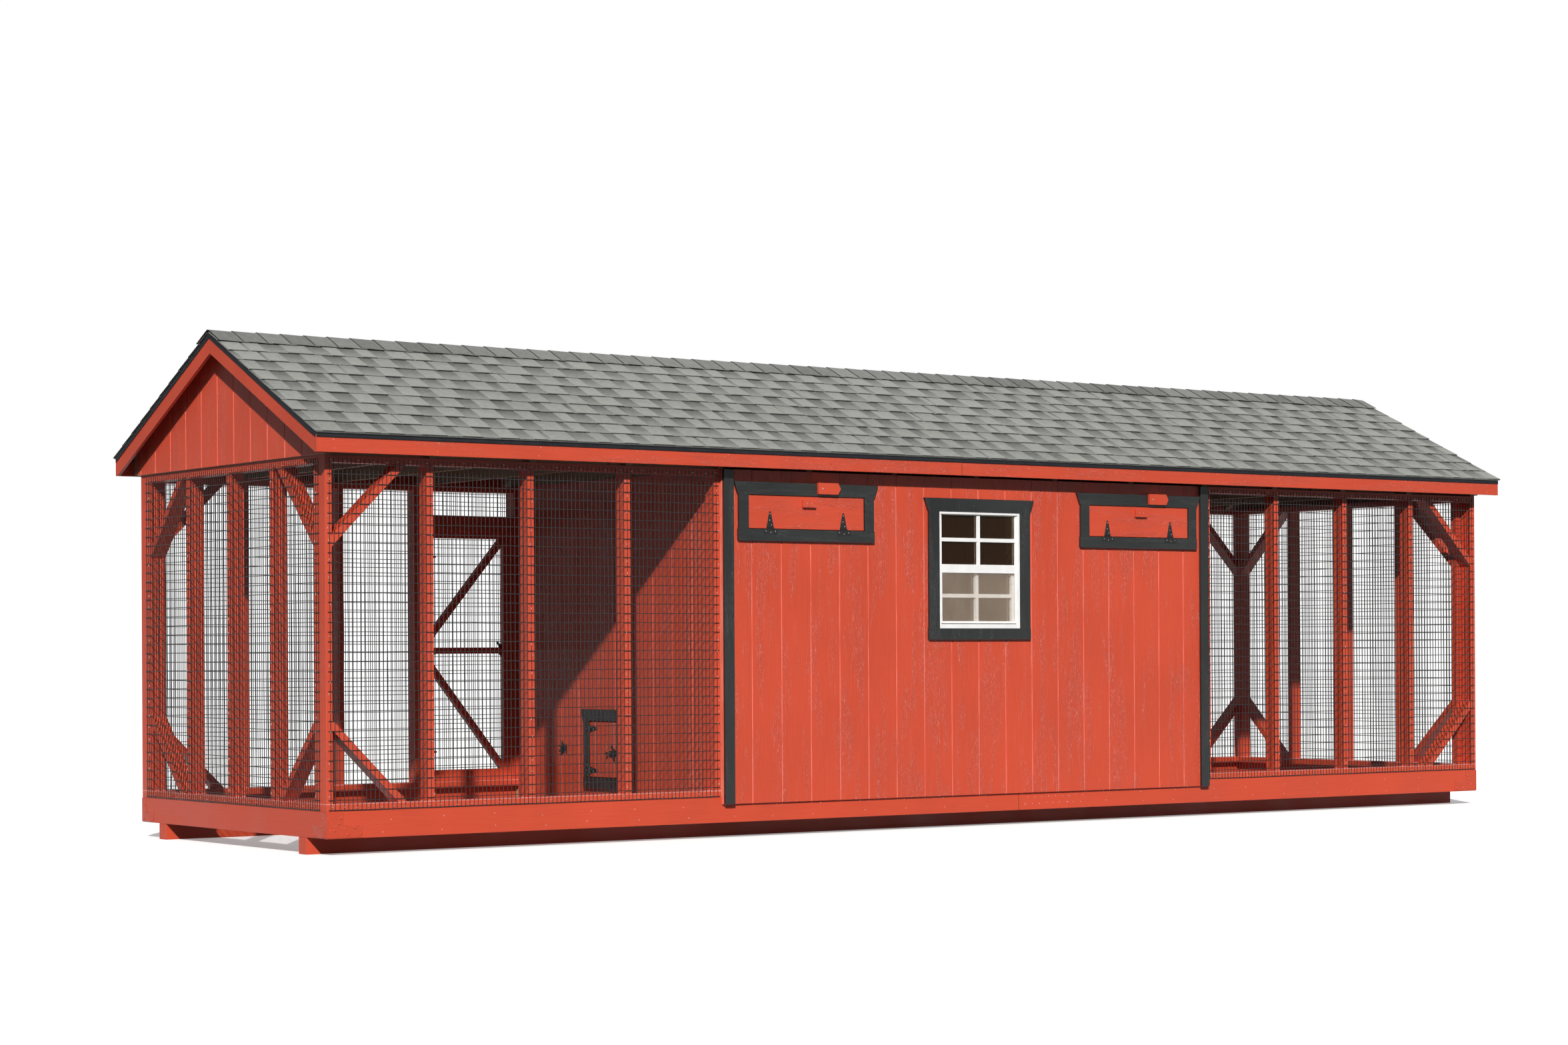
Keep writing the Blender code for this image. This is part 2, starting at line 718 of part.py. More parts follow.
def trim_outline(half, jamb, low, high, header):
    """The outline of flat trim round a hole that is 2 x half wide and runs from low to high."""
    side = half + jamb
    right = [(side + SILL_EAR, low - SILL_TRIM), (side + SILL_EAR, low), (side, low),
             (side, high), (side + SILL_EAR, high), (side + HEADER_EAR, high + header)]
    return right + [(-u, v) for u, v in reversed(right)]


def window_trim():
    outline = trim_outline(WINDOW_HALF, WINDOW_JAMB, WINDOW_LOW, WINDOW_HIGH, WINDOW_HEADER)
    hole = rectangle(-WINDOW_HALF, WINDOW_HALF, WINDOW_LOW, WINDOW_HIGH)
    return wall_piece("window_trim", outline, [hole], -TRIM_FACE, -HALF_WIDTH - SHEET,
                      FACING_FRONT, black_paint())


def window_frame():
    """The fixed frame with its upper sash: a deep surround and a front grid of bars."""
    outline = rectangle(-WINDOW_HALF, WINDOW_HALF, WINDOW_LOW, WINDOW_HIGH)
    reach = WINDOW_HALF - FRAME_SIDE
    top = WINDOW_HIGH - FRAME_SIDE
    inner = rectangle(-reach, reach, WINDOW_LOW + FRAME_SILL, top)
    obj = wall_piece("window_frame", outline, [inner], -FRAME_FACE, -FRAME_BACK,
                     FACING_FRONT, white_vinyl())
    grid = rectangle(-reach - BITE, reach + BITE, MEETING_LOW, top + BITE)
    edge = reach - UPPER_STILE
    panes = pane_holes(-edge, edge, MEETING_HIGH, top - UPPER_RAIL, BAR)
    face = FRAME_FACE - UPPER_SETBACK
    shape = wall_piece("upper_sash_shape", grid, panes, -face, -face + UPPER_THICK,
                       FACING_FRONT, white_vinyl())
    hide_and_join(obj, shape)
    return obj


def window_upper_glass():
    reach = WINDOW_HALF - FRAME_SIDE
    back = FRAME_FACE - UPPER_SETBACK - UPPER_THICK
    return board("window_upper_glass", (-reach, -back, MEETING_LOW + BITE),
                 (reach, -back + PANE, WINDOW_HIGH - FRAME_SIDE), pane_glass())


def window_lower_sash():
    """The sash that slides up behind the upper one, with its pane behind the bars."""
    reach = WINDOW_HALF - FRAME_SIDE - 0.05
    low, high = WINDOW_LOW + FRAME_SILL + 0.1, MEETING_HIGH - 0.1
    outline = rectangle(-reach, reach, low, high)
    edge = reach - LOWER_STILE
    panes = pane_holes(-edge, edge, low + LOWER_RAIL, high - MEETING_RAIL, BAR)
    face = FRAME_FACE - LOWER_SETBACK
    back = face - LOWER_THICK
    pivot = (0.0, -face, low)
    sash = wall_piece("window_lower_sash", outline, panes, -face, -back, FACING_FRONT,
                      white_vinyl(), pivot=pivot)
    half = LOWER_RAIL / 2  # how far the pane reaches over the sash's stiles and rails
    board("window_lower_glass", (-reach + half, -back, low + half),
          (reach - half, -back + PANE, high - half), pane_glass(), pivot=pivot, parent=sash)
    return sash


# ---------------------------------------------------------------- vents


FLAP_BACK = HALF_WIDTH + SHEET
FLAP_FACE = FLAP_BACK + LEAF
HINGE_RISE = 0.1  # of a hinge's line from the face of the trim
HINGE_LINE = TRIM_FACE + HINGE_RISE
BUTTON_OFFSET = 3.7
BUTTON_Z = 77.3
BUTTON_LONG = 5.0
BUTTON_SHORT = 1.1
BUTTON_WIDTH = 2.55
BUTTON_TIP = 0.7
PULL_OFFSET = 0.3  # of the flap's pull block from the flap's middle
PULL_HALF = 1.75
PULL_LOW = 5.0  # above the vent's lower edge
PULL_HEIGHT = 1.7
PULL_PROUD = 0.25


def vent_trim(name, side):
    outline = trim_outline(VENT_HALF, VENT_JAMB, VENT_LOW, VENT_HIGH, VENT_HEADER)
    hole = rectangle(-VENT_HALF, VENT_HALF, VENT_LOW, VENT_HIGH)
    outline, hole = ([(u + side * VENT_X, v) for u, v in ring] for ring in (outline, hole))
    return wall_piece(name, outline, [hole], -TRIM_FACE, -HALF_WIDTH - SHEET, FACING_FRONT,
                      black_paint())


def vent_flap(name, side):
    """A flap that tips down about its lower edge, with the block that it is pulled by."""
    half = VENT_HALF - LEAF_CLEAR
    outline = rectangle(side * VENT_X - half, side * VENT_X + half, VENT_LOW + LEAF_CLEAR,
                        VENT_HIGH - LEAF_CLEAR)
    pivot = (side * VENT_X, -HINGE_LINE, VENT_LOW)
    flap = wall_piece(name, outline, [], -FLAP_FACE, -FLAP_BACK, FACING_FRONT, red_paint(),
                      pivot=pivot)
    middle, low = side * VENT_X + PULL_OFFSET, VENT_LOW + PULL_LOW
    block = box_mesh((middle - PULL_HALF, -FLAP_FACE - PULL_PROUD, low),
                     (middle + PULL_HALF, -FLAP_FACE + BITE, low + PULL_HEIGHT), 0)
    block.transform(Matrix.Translation(-Vector(pivot) * INCH))
    shape = cutter(name + "_block_shape", [block])
    shape.location = flap.location
    boolean(flap, shape, "UNION")
    return flap


def turn_button(name, side):
    """The wooden button on its screw, turned aside so that the flap is free."""
    pivot_x = side * VENT_X + BUTTON_OFFSET
    blunt, tip = pivot_x - BUTTON_SHORT, pivot_x + BUTTON_LONG
    low, high = BUTTON_Z - BUTTON_WIDTH / 2, BUTTON_Z + BUTTON_WIDTH / 2
    outline = [(blunt, low), (tip - BUTTON_TIP, low), (tip, BUTTON_Z), (tip - BUTTON_TIP, high),
               (blunt, high)]
    return wall_piece(name, outline, [], -TRIM_FACE - BOARD, -TRIM_FACE, FACING_FRONT,
                      red_paint(), pivot=(pivot_x, -TRIM_FACE, BUTTON_Z))


# ---------------------------------------------------------------- doors


def pop_door_trim(name, side):
    middle, half = (POP_LOW_Y + POP_HIGH_Y) / 2, (POP_HIGH_Y - POP_LOW_Y) / 2
    outline = trim_outline(half, POP_JAMB, POP_LOW, POP_HIGH, POP_HEADER)
    outline = [(u + middle, v) for u, v in outline]
    hole = rectangle(POP_LOW_Y, POP_HIGH_Y, POP_LOW, POP_HIGH)
    low, high = sorted((side * (HALF_COOP + SHEET), side * (HALF_COOP + SHEET + BOARD)))
    return wall_piece(name, outline, [hole], low, high, FACING_END, black_paint())


def pop_door(name, side):
    """The hens' door in a partition, hung on its rear edge and opening into the run."""
    outline = rectangle(POP_LOW_Y + LEAF_CLEAR, POP_HIGH_Y - LEAF_CLEAR,
                        POP_LOW + LEAF_CLEAR, POP_HIGH - LEAF_CLEAR)
    back = HALF_COOP + SHEET
    low, high = sorted((side * back, side * (back + LEAF)))
    hinge = side * (back + BOARD + HINGE_RISE)
    return wall_piece(name, outline, [], low, high, FACING_END, red_paint(),
                      pivot=(hinge, POP_HIGH_Y, POP_LOW))


def diagonal_holes(u0, u1, v0, v1, rising):
    """The two triangles left of a rectangle by a brace along its diagonal."""
    run, rise = u1 - u0, v1 - v0
    length = math.hypot(run, rise)
    across = STUD / 2 * length / rise
    up = STUD / 2 * length / run
    if rising:
        return [[(u0, v0 + up), (u0, v1), (u1 - across, v1)],
                [(u0 + across, v0), (u1, v0), (u1, v1 - up)]]
    return [[(u0, v0), (u1 - across, v0), (u0, v1 - up)],
            [(u1, v0 + up), (u1, v1), (u0 + across, v1)]]


RUN_DOOR_SILL = 1.2  # above the run's bottom plate
RUN_DOOR_RAIL = 0.8  # of the middle rail above half height
RUN_DOOR_PIN = 0.15  # from the frame's face to the hinge line


def run_door(name, side):
    """A run's walk-in screen door, braced from its hinge side, flush with the rear frame."""
    near = side * (RUN_DOOR_NEAR + RUN_DOOR_CLEAR)
    far = side * (RUN_DOOR_FAR - RUN_DOOR_CLEAR)
    u0, u1 = sorted((near, far))
    low, high = WALL_LOW + RUN_DOOR_SILL, RUN_DOOR_HIGH - RUN_DOOR_CLEAR
    middle = (low + high) / 2 + RUN_DOOR_RAIL
    half = STUD / 2
    hinge_on_left = side < 0
    holes = diagonal_holes(u0 + STUD, u1 - STUD, middle + half, high - STUD, hinge_on_left)
    holes += diagonal_holes(u0 + STUD, u1 - STUD, low + STUD, middle - half, not hinge_on_left)
    outline = rectangle(u0, u1, low, high)
    return wall_piece(name, outline, holes, HALF_WIDTH - STUD, HALF_WIDTH, FACING_FRONT,
                      red_paint(), pivot=(far, HALF_WIDTH + RUN_DOOR_PIN, low))


def coop_door():
    """The keeper's door into the room, in the rear wall."""
    half = COOP_DOOR_HALF - LEAF_CLEAR
    outline = rectangle(-half, half, COOP_DOOR_LOW, COOP_DOOR_HIGH)
    back = HALF_WIDTH + SHEET
    face = back + BOARD
    obj = wall_piece("coop_door", outline, [], back, face, FACING_FRONT, red_paint(),
                     pivot=(-COOP_DOOR_HALF, face + HINGE_RISE, COOP_DOOR_LOW))
    meshes = []
    for at in groove_lines(-GROOVE_PITCH, half):
        low = (at - GROOVE_WIDTH / 2, face - GROOVE_DEPTH, COOP_DOOR_LOW - OVERRUN)
        high = (at + GROOVE_WIDTH / 2, face + OVERRUN, COOP_DOOR_HIGH + OVERRUN)
        meshes.append(box_mesh(low, high, 0))
        meshes[-1].transform(Matrix.Translation(-obj.location))
    shape = cutter("coop_door_grooves", meshes)
    shape.location = obj.location
    boolean(obj, shape, "DIFFERENCE")
    return obj


# ---------------------------------------------------------------- inside the room


NESTS = 5
NEST_HALF = 30.5  # half the row's length
NEST_LOW = 22.0
NEST_HIGH = 36.0
NEST_DEPTH = 14.0
NEST_LIP = 3.0


def nest_boxes():
    """Nests in a row against the front wall, open to the room over a low lip."""
    back = -INNER_WIDTH
    front = back + NEST_DEPTH
    spacing = (2 * NEST_HALF - BOARD) / NESTS
    floor, lip = NEST_LOW + BOARD, NEST_LOW + BOARD + NEST_LIP
    holes = []
    trays = []
    for i in range(NESTS):
        start = -NEST_HALF + BOARD + i * spacing
        end = start + spacing - BOARD
        holes.append(rectangle(start, end, lip, NEST_HIGH - BOARD))
        trays.append(box_mesh((start, back + BOARD, floor), (end, front - BOARD, lip + OVERRUN), 0))
    outline = rectangle(-NEST_HALF, NEST_HALF, NEST_LOW, NEST_HIGH)
    obj = wall_piece("nest_boxes", outline, holes, back, front, FACING_FRONT, plain_timber())
    backing = box_mesh((-NEST_HALF + BITE, back + BITE, NEST_LOW + BITE),
                       (NEST_HALF - BITE, back + BOARD, NEST_HIGH - BITE), 0)
    boolean(obj, cutter("nest_backing_shape", [backing]), "UNION")
    boolean(obj, cutter("nest_tray_shapes", trays), "DIFFERENCE")
    return obj


ROOST_LOW = 38.0
ROOST_NEAR = 38.0  # from the room's middle, along its length
ROOST_FAR = 66.0


def roost():
    """Three perches on end cleats, from wall to wall across the room."""
    spacing = (ROOST_FAR - ROOST_NEAR - DEPTH) / 2
    reach = INNER_WIDTH - STUD
    holes = []
    for i in range(2):
        start = ROOST_NEAR + DEPTH + i * spacing
        holes.append(rectangle(start, start + spacing - DEPTH, -reach, reach))
    outline = rectangle(ROOST_NEAR, ROOST_FAR, -INNER_WIDTH, INNER_WIDTH)
    return wall_piece("roost", outline, holes, ROOST_LOW, ROOST_LOW + STUD, LYING,
                      plain_timber())


def build():
    clear_scene()
    for name, side in (("front", -1), ("rear", 1)):
        skid("skid_" + name, side)
        long_base_board("base_board_" + name, side)
        fascia("fascia_" + name, side)
        roof_deck("roof_deck_" + name, side)
        shingles("shingles_" + name, side)
    coop_floor()
    for hand, side in (("left", -1), ("right", 1)):
        end_base_board("base_board_" + hand, side)
        run_end_frame("run_frame_" + hand + "_end", side)
        run_long_frame("run_frame_" + hand + "_front", side, True)
        run_long_frame("run_frame_" + hand + "_rear", side, False)
        end_wire("wire_" + hand + "_end", side)
        long_wire("wire_" + hand + "_front", side, -1)
        long_wire("wire_" + hand + "_rear", side, 1)
        partition_siding("siding_" + hand, side)
        gable_siding("gable_" + hand, side)
        rake_board("rake_boards_" + hand, side)
        corner_board("corner_board_front_" + hand, side, -1)
        corner_board("corner_board_rear_" + hand, side, 1)
        pop_door_trim("pop_door_trim_" + hand, side)
        pop_door("pop_door_" + hand, side)
        run_door("run_door_" + hand, side)
        vent_trim("vent_trim_" + hand, side)
        vent_flap("vent_flap_" + hand, side)
        turn_button("turn_button_" + hand, side)
    front_siding()
    rear_siding()
    coop_wall_frame()
    roof_trusses()
    ridge_cap()
    window_trim()
    window_frame()
    window_upper_glass()
    window_lower_sash()
    coop_door()
    nest_boxes()
    roost()


build()
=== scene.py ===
"""The looks of the chicken coop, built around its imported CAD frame.

Sizes are in inches, because the coop is built from inch lumber, and become metres where a mesh
is made. +X runs along the coop, -Y is the side with the window, and +Z is up.
"""

import json
import math
import random

import bmesh
import bpy
from mathutils import Matrix, Vector


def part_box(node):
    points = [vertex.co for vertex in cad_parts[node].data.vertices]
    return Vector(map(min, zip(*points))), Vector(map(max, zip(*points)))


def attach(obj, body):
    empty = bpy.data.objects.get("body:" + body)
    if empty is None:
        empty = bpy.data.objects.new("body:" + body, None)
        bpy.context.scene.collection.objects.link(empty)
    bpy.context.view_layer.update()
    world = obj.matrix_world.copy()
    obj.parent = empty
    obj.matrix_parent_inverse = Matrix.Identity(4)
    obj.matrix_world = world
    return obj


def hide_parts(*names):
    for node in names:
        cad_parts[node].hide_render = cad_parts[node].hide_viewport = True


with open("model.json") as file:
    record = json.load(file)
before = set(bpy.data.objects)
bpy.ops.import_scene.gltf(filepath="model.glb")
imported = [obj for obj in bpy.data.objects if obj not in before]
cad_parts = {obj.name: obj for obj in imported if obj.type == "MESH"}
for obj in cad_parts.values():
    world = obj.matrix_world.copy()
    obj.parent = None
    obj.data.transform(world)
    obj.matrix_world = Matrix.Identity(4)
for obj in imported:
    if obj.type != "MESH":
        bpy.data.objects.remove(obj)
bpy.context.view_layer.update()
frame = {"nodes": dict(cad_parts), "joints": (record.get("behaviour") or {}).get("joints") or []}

INCH = 0.0254
rng = random.Random(11)


def span(node):
    """A CAD node's lowest and highest corners, in inches."""
    low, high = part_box(node)
    return low / INCH, high / INCH


# Driving lines, read from the frame
BASE_LOW, BASE_HIGH = span("base_board_front")
HALF_LENGTH = BASE_HIGH.x
HALF_WIDTH = -BASE_LOW.y
BASE_TOP = BASE_HIGH.z
WALL_TOP = span("coop_wall_frame")[1].z
HALF_COOP = span("siding_front")[1].x
FASCIA_LOW, FASCIA_HIGH = span("fascia_front")
DECK_LOW, DECK_HIGH = span("roof_deck_front")
SHINGLE_LOW, SHINGLE_HIGH = span("shingles_front")
PITCH = 0.485  # the roof's rise over its run
STUD = 1.5  # a stud's narrow face
GROOVE_PITCH = 8.0  # between the siding's grooves
GROOVE_HALF = 0.15  # half the width of a groove's lit lip
LIT_EDGE_HALF = 0.12  # half the width of the painted highlight along a board's lit top edge
INNER_FACE = 0.06  # how far out from the studs the siding's bare back still shows
FRONT_GROOVE = GROOVE_PITCH - HALF_COOP  # one groove's place along X
PARTITION_GROOVE = -34.6  # and along Y
GABLE_GROOVE = -44.2
BASE_JOINT = 12.15  # where the long base boards meet
FASCIA_JOINT = -7.85
OUT = {"front": Vector((0, -1, 0)), "rear": Vector((0, 1, 0)),
       "left": Vector((-1, 0, 0)), "right": Vector((1, 0, 0))}
UP = Vector((0, 0, 1))


# Camera and light

VIEW_PLACE = (-11.6187, -15.5844, 1.0150)  # metres
VIEW_YAW = 35.511  # degrees from +Y towards +X; the next two are in degrees too
VIEW_PITCH = 0.133
VIEW_ROLL = -0.306
VIEW_LENS = 72.0
VIEW_SHIFT = (-0.00776, 0.0804)
TO_SUN = (-0.482, -0.708, 0.516)
SUN_STRENGTH = 4.3
SUN_TINT = (1.0, 0.975, 0.94)
SKY_TINT = (0.86, 0.92, 1.0, 1.0)
SUN_ANGLE = 1.3  # degrees across; soft over the coop's depth, crisp where the wire lies close
SKY_OVERHEAD = 0.40
SKY_LEVEL = 0.032  # sideways and from below, which is what reaches under the roof
FLOOR_REACH = 90.0  # metres
FLOOR_FADE = (9.0, 30.0)  # metres from the middle: the floor turns into the white surround


def aim_camera():
    yaw, pitch, roll = (math.radians(a) for a in (VIEW_YAW, VIEW_PITCH, VIEW_ROLL))
    ahead = Vector((math.sin(yaw) * math.cos(pitch), math.cos(yaw) * math.cos(pitch),
                    math.sin(pitch)))
    right = Vector((math.cos(yaw), -math.sin(yaw), 0.0))
    up = right.cross(ahead)
    tilted_right = right * math.cos(roll) + up * math.sin(roll)
    tilted_up = up * math.cos(roll) - right * math.sin(roll)
    data = bpy.data.cameras.new("view")
    data.lens = VIEW_LENS
    data.shift_x, data.shift_y = VIEW_SHIFT
    data.clip_end = 500.0
    camera = bpy.data.objects.new("view", data)
    bpy.context.scene.collection.objects.link(camera)
    turn = Matrix((tilted_right, tilted_up, -ahead)).transposed()
    camera.matrix_world = Matrix.Translation(VIEW_PLACE) @ turn.to_4x4()
    bpy.context.scene.camera = camera


def light_studio():
    """A crisp key light from the front left, like the photo's sun, and a dim sky. The camera
    sees the surround as plain white."""
    data = bpy.data.lights.new("key", "SUN")
    data.energy = SUN_STRENGTH
    data.angle = math.radians(SUN_ANGLE)
    data.color = SUN_TINT
    key = bpy.data.objects.new("key", data)
    bpy.context.scene.collection.objects.link(key)
    key.rotation_euler = Vector(TO_SUN).to_track_quat("Z", "Y").to_euler()
    world = bpy.data.worlds.new("surround")
    bpy.context.scene.world = world
    world.use_nodes = True
    tree = world.node_tree
    shade = tree.nodes["Background"]
    shade.inputs["Color"].default_value = SKY_TINT
    direction = tree.nodes.new("ShaderNodeTexCoord")
    split = tree.nodes.new("ShaderNodeSeparateXYZ")
    rise = tree.nodes.new("ShaderNodeMapRange")
    rise.inputs["To Min"].default_value = SKY_LEVEL
    rise.inputs["To Max"].default_value = SKY_OVERHEAD
    tree.links.new(direction.outputs["Generated"], split.inputs[0])
    tree.links.new(split.outputs["Z"], rise.inputs["Value"])
    tree.links.new(rise.outputs["Result"], shade.inputs["Strength"])
    white = tree.nodes.new("ShaderNodeBackground")
    white.inputs["Color"].default_value = (1.0, 1.0, 1.0, 1.0)
    seen = tree.nodes.new("ShaderNodeLightPath")
    mix = tree.nodes.new("ShaderNodeMixShader")
    tree.links.new(seen.outputs["Is Camera Ray"], mix.inputs[0])
    tree.links.new(shade.outputs[0], mix.inputs[1])
    tree.links.new(white.outputs[0], mix.inputs[2])
    tree.links.new(mix.outputs[0], tree.nodes["World Output"].inputs["Surface"])
    bpy.context.scene.view_settings.view_transform = "Standard"


# Finishes


class Finish:
    """A material with short ways to add nodes to it. Patterns are in inches."""

    def __init__(self, name, roughness=0.5, metallic=0.0):
        self.material = bpy.data.materials.new(name)
        self.material.use_nodes = True
        self.tree = self.material.node_tree
        self.shader = self.tree.nodes["Principled BSDF"]
        self.shader.inputs["Roughness"].default_value = roughness
        self.shader.inputs["Metallic"].default_value = metallic
        self.place = self.add("ShaderNodeTexCoord").outputs["Object"]

    def add(self, kind, inputs=None, **settings):
        node = self.tree.nodes.new(kind)
        for key, value in settings.items():
            setattr(node, key, value)
        for key, value in (inputs or {}).items():
            self.feed(node.inputs[key], value)
        return node

    def feed(self, socket, value):
        if isinstance(value, bpy.types.NodeSocket):
            self.tree.links.new(value, socket)
        else:
            socket.default_value = value

    def stretched(self, size):
        """The place on the piece, in units of size = (x, y, z) inches."""
        scale = tuple(1.0 / (s * INCH) for s in size)
        return self.add("ShaderNodeMapping", {"Vector": self.place, "Scale": scale}).outputs[0]

    def noise(self, size, detail=3.0, distortion=0.0, rough=0.55):
        inputs = {"Vector": self.stretched(size), "Scale": 1.0, "Detail": detail,
                  "Distortion": distortion, "Roughness": rough}
        return self.add("ShaderNodeTexNoise", inputs).outputs["Fac"]

    def level(self, value, low, high, to_low=0.0, to_high=1.0):
        inputs = {"Value": value, "From Min": low, "From Max": high,
                  "To Min": to_low, "To Max": to_high}
        return self.add("ShaderNodeMapRange", inputs).outputs["Result"]

    def maths(self, operation, first, second, third=0.0):
        inputs = {0: first, 1: second, 2: third}
        return self.add("ShaderNodeMath", inputs, operation=operation).outputs[0]

    def times(self, first, second):
        return self.maths("MULTIPLY", first, second)

    def mix(self, amount, first, second):
        first = first if isinstance(first, bpy.types.NodeSocket) else (*first, 1.0)
        second = second if isinstance(second, bpy.types.NodeSocket) else (*second, 1.0)
        node = self.add("ShaderNodeMix", {0: amount, 6: first, 7: second}, data_type="RGBA")
        return node.outputs[2]

    def apart(self, first, second):
        return self.maths("ABSOLUTE", self.maths("SUBTRACT", first, second), 0.0)

    def made(self, colour, roughness, height=None, depth=0.0, strength=1.0):
        """The finished material, with a bump where a height is given. Depth is in inches."""
        self.feed(self.shader.inputs["Base Color"], colour)
        self.feed(self.shader.inputs["Roughness"], roughness)
        if height:
            inputs = {"Height": height, "Distance": depth * INCH, "Strength": strength}
            bump = self.add("ShaderNodeBump", inputs)
            self.feed(self.shader.inputs["Normal"], bump.outputs["Normal"])
        return self.material

    def blend(self, amount, first, second):
        """Two shaders, mixed."""
        return self.add("ShaderNodeMixShader", {0: amount, 1: first, 2: second}).outputs[0]

    def surface(self, shader):
        self.feed(self.tree.nodes["Material Output"].inputs["Surface"], shader)

    def along(self, axis):
        """One coordinate of the place, in inches."""
        split = self.add("ShaderNodeSeparateXYZ", {"Vector": self.stretched((1, 1, 1))})
        return split.outputs[axis]

    def repeated(self, axis, first):
        """1 along the lit side of each siding groove, and 0 elsewhere."""
        shifted = self.maths("SUBTRACT", self.along(axis), first - GROOVE_PITCH / 2)
        share = self.maths("WRAP", shifted, GROOVE_PITCH, 0.0)
        return self.level(self.apart(share, GROOVE_PITCH / 2), GROOVE_HALF * 0.5, GROOVE_HALF,
                          1.0, 0.0)

    def line(self, axis, at, half):
        """1 on a thin line across the piece, such as the joint of two boards, and 0 elsewhere."""
        return self.level(self.apart(self.along(axis), at), half * 0.6, half, 1.0, 0.0)


SEAM_HALF = 0.09  # half the width of the dark line where two boards of one run meet
VENEER_DARK = (0.44, 0.29, 0.15)  # the siding's unpainted back
VENEER_PALE = (0.62, 0.44, 0.25)


def grain_size(axis, across, length):
    """A pattern's size, longer along the grain's axis."""
    size = [across, across, across]
    size["XYZ".index(axis)] = length
    return tuple(size)


def tinted(tint, scale, lift=0.0):
    """A colour made darker or paler."""
    return tuple(min(1.0, c * scale + lift) for c in tint)


def painted_wood(name, tint, axis, emboss=0.0, joint=None, grooves=None, inside=None, lit_top_edge=None,
                 gloss=0.42):
    """Brushed paint over wood whose grain runs along one axis. emboss is how deeply the board's
    pressed grain shows, with painted highlights on its ridges and painted shade in its hollows;
    joint is where two boards of one run meet, in inches along X, and grooves is the axis that the
    siding's grooves repeat along, the place of one of them and how strongly their lips catch the
    light. inside is an axis and a distance from the coop's middle line within which the board
    shows its bare back. lit_top_edge is the height of a board's top edge that gets a painted
    highlight, a pale line where light falls on its top. The paint's fine pale specks are painted
    glints."""
    paint = Finish(name)
    pale = tinted(tint, 1.10, 0.012)
    deep = tinted(tint, 0.92)
    cloud = paint.noise((17.0, 17.0, 23.0), 2.0)
    fibre = paint.noise(grain_size(axis, 0.22, 7.0), 3.0, 0.6)
    colour = paint.mix(paint.level(cloud, 0.38, 0.66), deep, tint)
    colour = paint.mix(paint.level(fibre, 0.4, 0.72, 0.0, 0.35), colour, pale)
    # pale specks over the paint: painted highlight, scattered glints
    dust_and_glint_specks = paint.noise((0.16, 0.16, 0.16), 1.0)
    spread = paint.noise((5.0, 5.0, 9.0), 2.0)
    glint_fleck = paint.times(paint.level(dust_and_glint_specks, 0.73, 0.78), paint.level(spread, 0.56, 0.66))
    height = paint.level(fibre, 0.3, 0.75)
    if emboss:
        ridge = paint.noise(grain_size(axis, 0.26, 1.5), 2.0, 2.2)
        patch = paint.noise(grain_size(axis, 2.6, 22.0), 2.0, 0.8)
        mask = paint.level(patch, 0.48, 0.62)
        crest = paint.times(paint.level(ridge, 0.50, 0.66), mask)
        height = paint.maths("ADD", paint.times(crest, 2.4), height)
        glint = paint.times(paint.level(ridge, 0.55, 0.64), mask)
        bright = tinted(tint, 1.2, 0.17)
        colour = paint.mix(paint.times(glint, 0.62 * emboss), colour, bright)
        # painted shade: darker in the pressed grain's hollows
        hollow_shade = paint.times(paint.level(ridge, 0.30, 0.42, 1.0, 0.0), mask)
        colour = paint.mix(paint.times(hollow_shade, 0.35 * emboss), colour, deep)
    # painted highlight: the pale colour of the glint specks
    glint_pale = tinted(tint, 0.6, 0.28)
    colour = paint.mix(paint.times(glint_fleck, 0.7), colour, glint_pale)
    if grooves:
        along, first, shine = grooves
        lip = paint.times(paint.repeated(along, first),
                          paint.level(spread, 0.35, 0.65, 0.35 * shine, shine))
        colour = paint.mix(lip, colour, tinted(tint, 1.1, 0.10 + 0.25 * shine))
    if joint is not None:
        colour = paint.mix(paint.line(0, joint, SEAM_HALF), colour, tinted(tint, 0.25))
    if lit_top_edge is not None:
        # painted highlight: a pale line along the top edge, where light falls on the board's top
        lit_edge_line = paint.times(paint.line(2, lit_top_edge, LIT_EDGE_HALF),
                             paint.level(spread, 0.35, 0.6, 0.45, 0.9))
        colour = paint.mix(lit_edge_line, colour, tinted(tint, 0.9, 0.27))
    if inside:
        across, reach = inside
        back = paint.maths("LESS_THAN", paint.apart(paint.along(across), 0.0), reach)
        veneer = paint.mix(paint.level(fibre, 0.35, 0.7), VENEER_DARK, VENEER_PALE)
        colour = paint.mix(back, colour, veneer)
    return paint.made(colour, paint.level(cloud, 0.3, 0.7, gloss - 0.07, gloss + 0.12),
                      height, 0.02 + 0.025 * emboss, 0.7)


def bare_wood(name, tint, axis):
    """Unpainted softwood: growth rings that wander, knots and a dry surface."""
    wood = Finish(name, 0.75)
    warp = wood.noise(grain_size(axis, 1.1, 16.0), 2.0, 1.0)
    ring = wood.noise(grain_size(axis, 0.28, 22.0), 4.0, 1.2)
    knot = wood.noise(grain_size(axis, 2.4, 4.5), 0.0, 0.4)
    colour = wood.mix(wood.level(ring, 0.36, 0.64), tinted(tint, 0.62), tinted(tint, 1.15))
    colour = wood.mix(wood.level(warp, 0.35, 0.7, 0.0, 0.55), colour, tint)
    brown = (tint[0] * 0.34, tint[1] * 0.25, tint[2] * 0.2)
    colour = wood.mix(wood.level(knot, 0.74, 0.8, 0.0, 0.85), colour, brown)
    return wood.made(colour, wood.level(ring, 0.3, 0.7, 0.62, 0.86), ring, 0.02, 0.5)


STONE_PALE = (0.305, 0.312, 0.289)
STONE_DARK = (0.105, 0.108, 0.101)
ASPHALT_AND_SHADOW = (0.03, 0.031, 0.03)


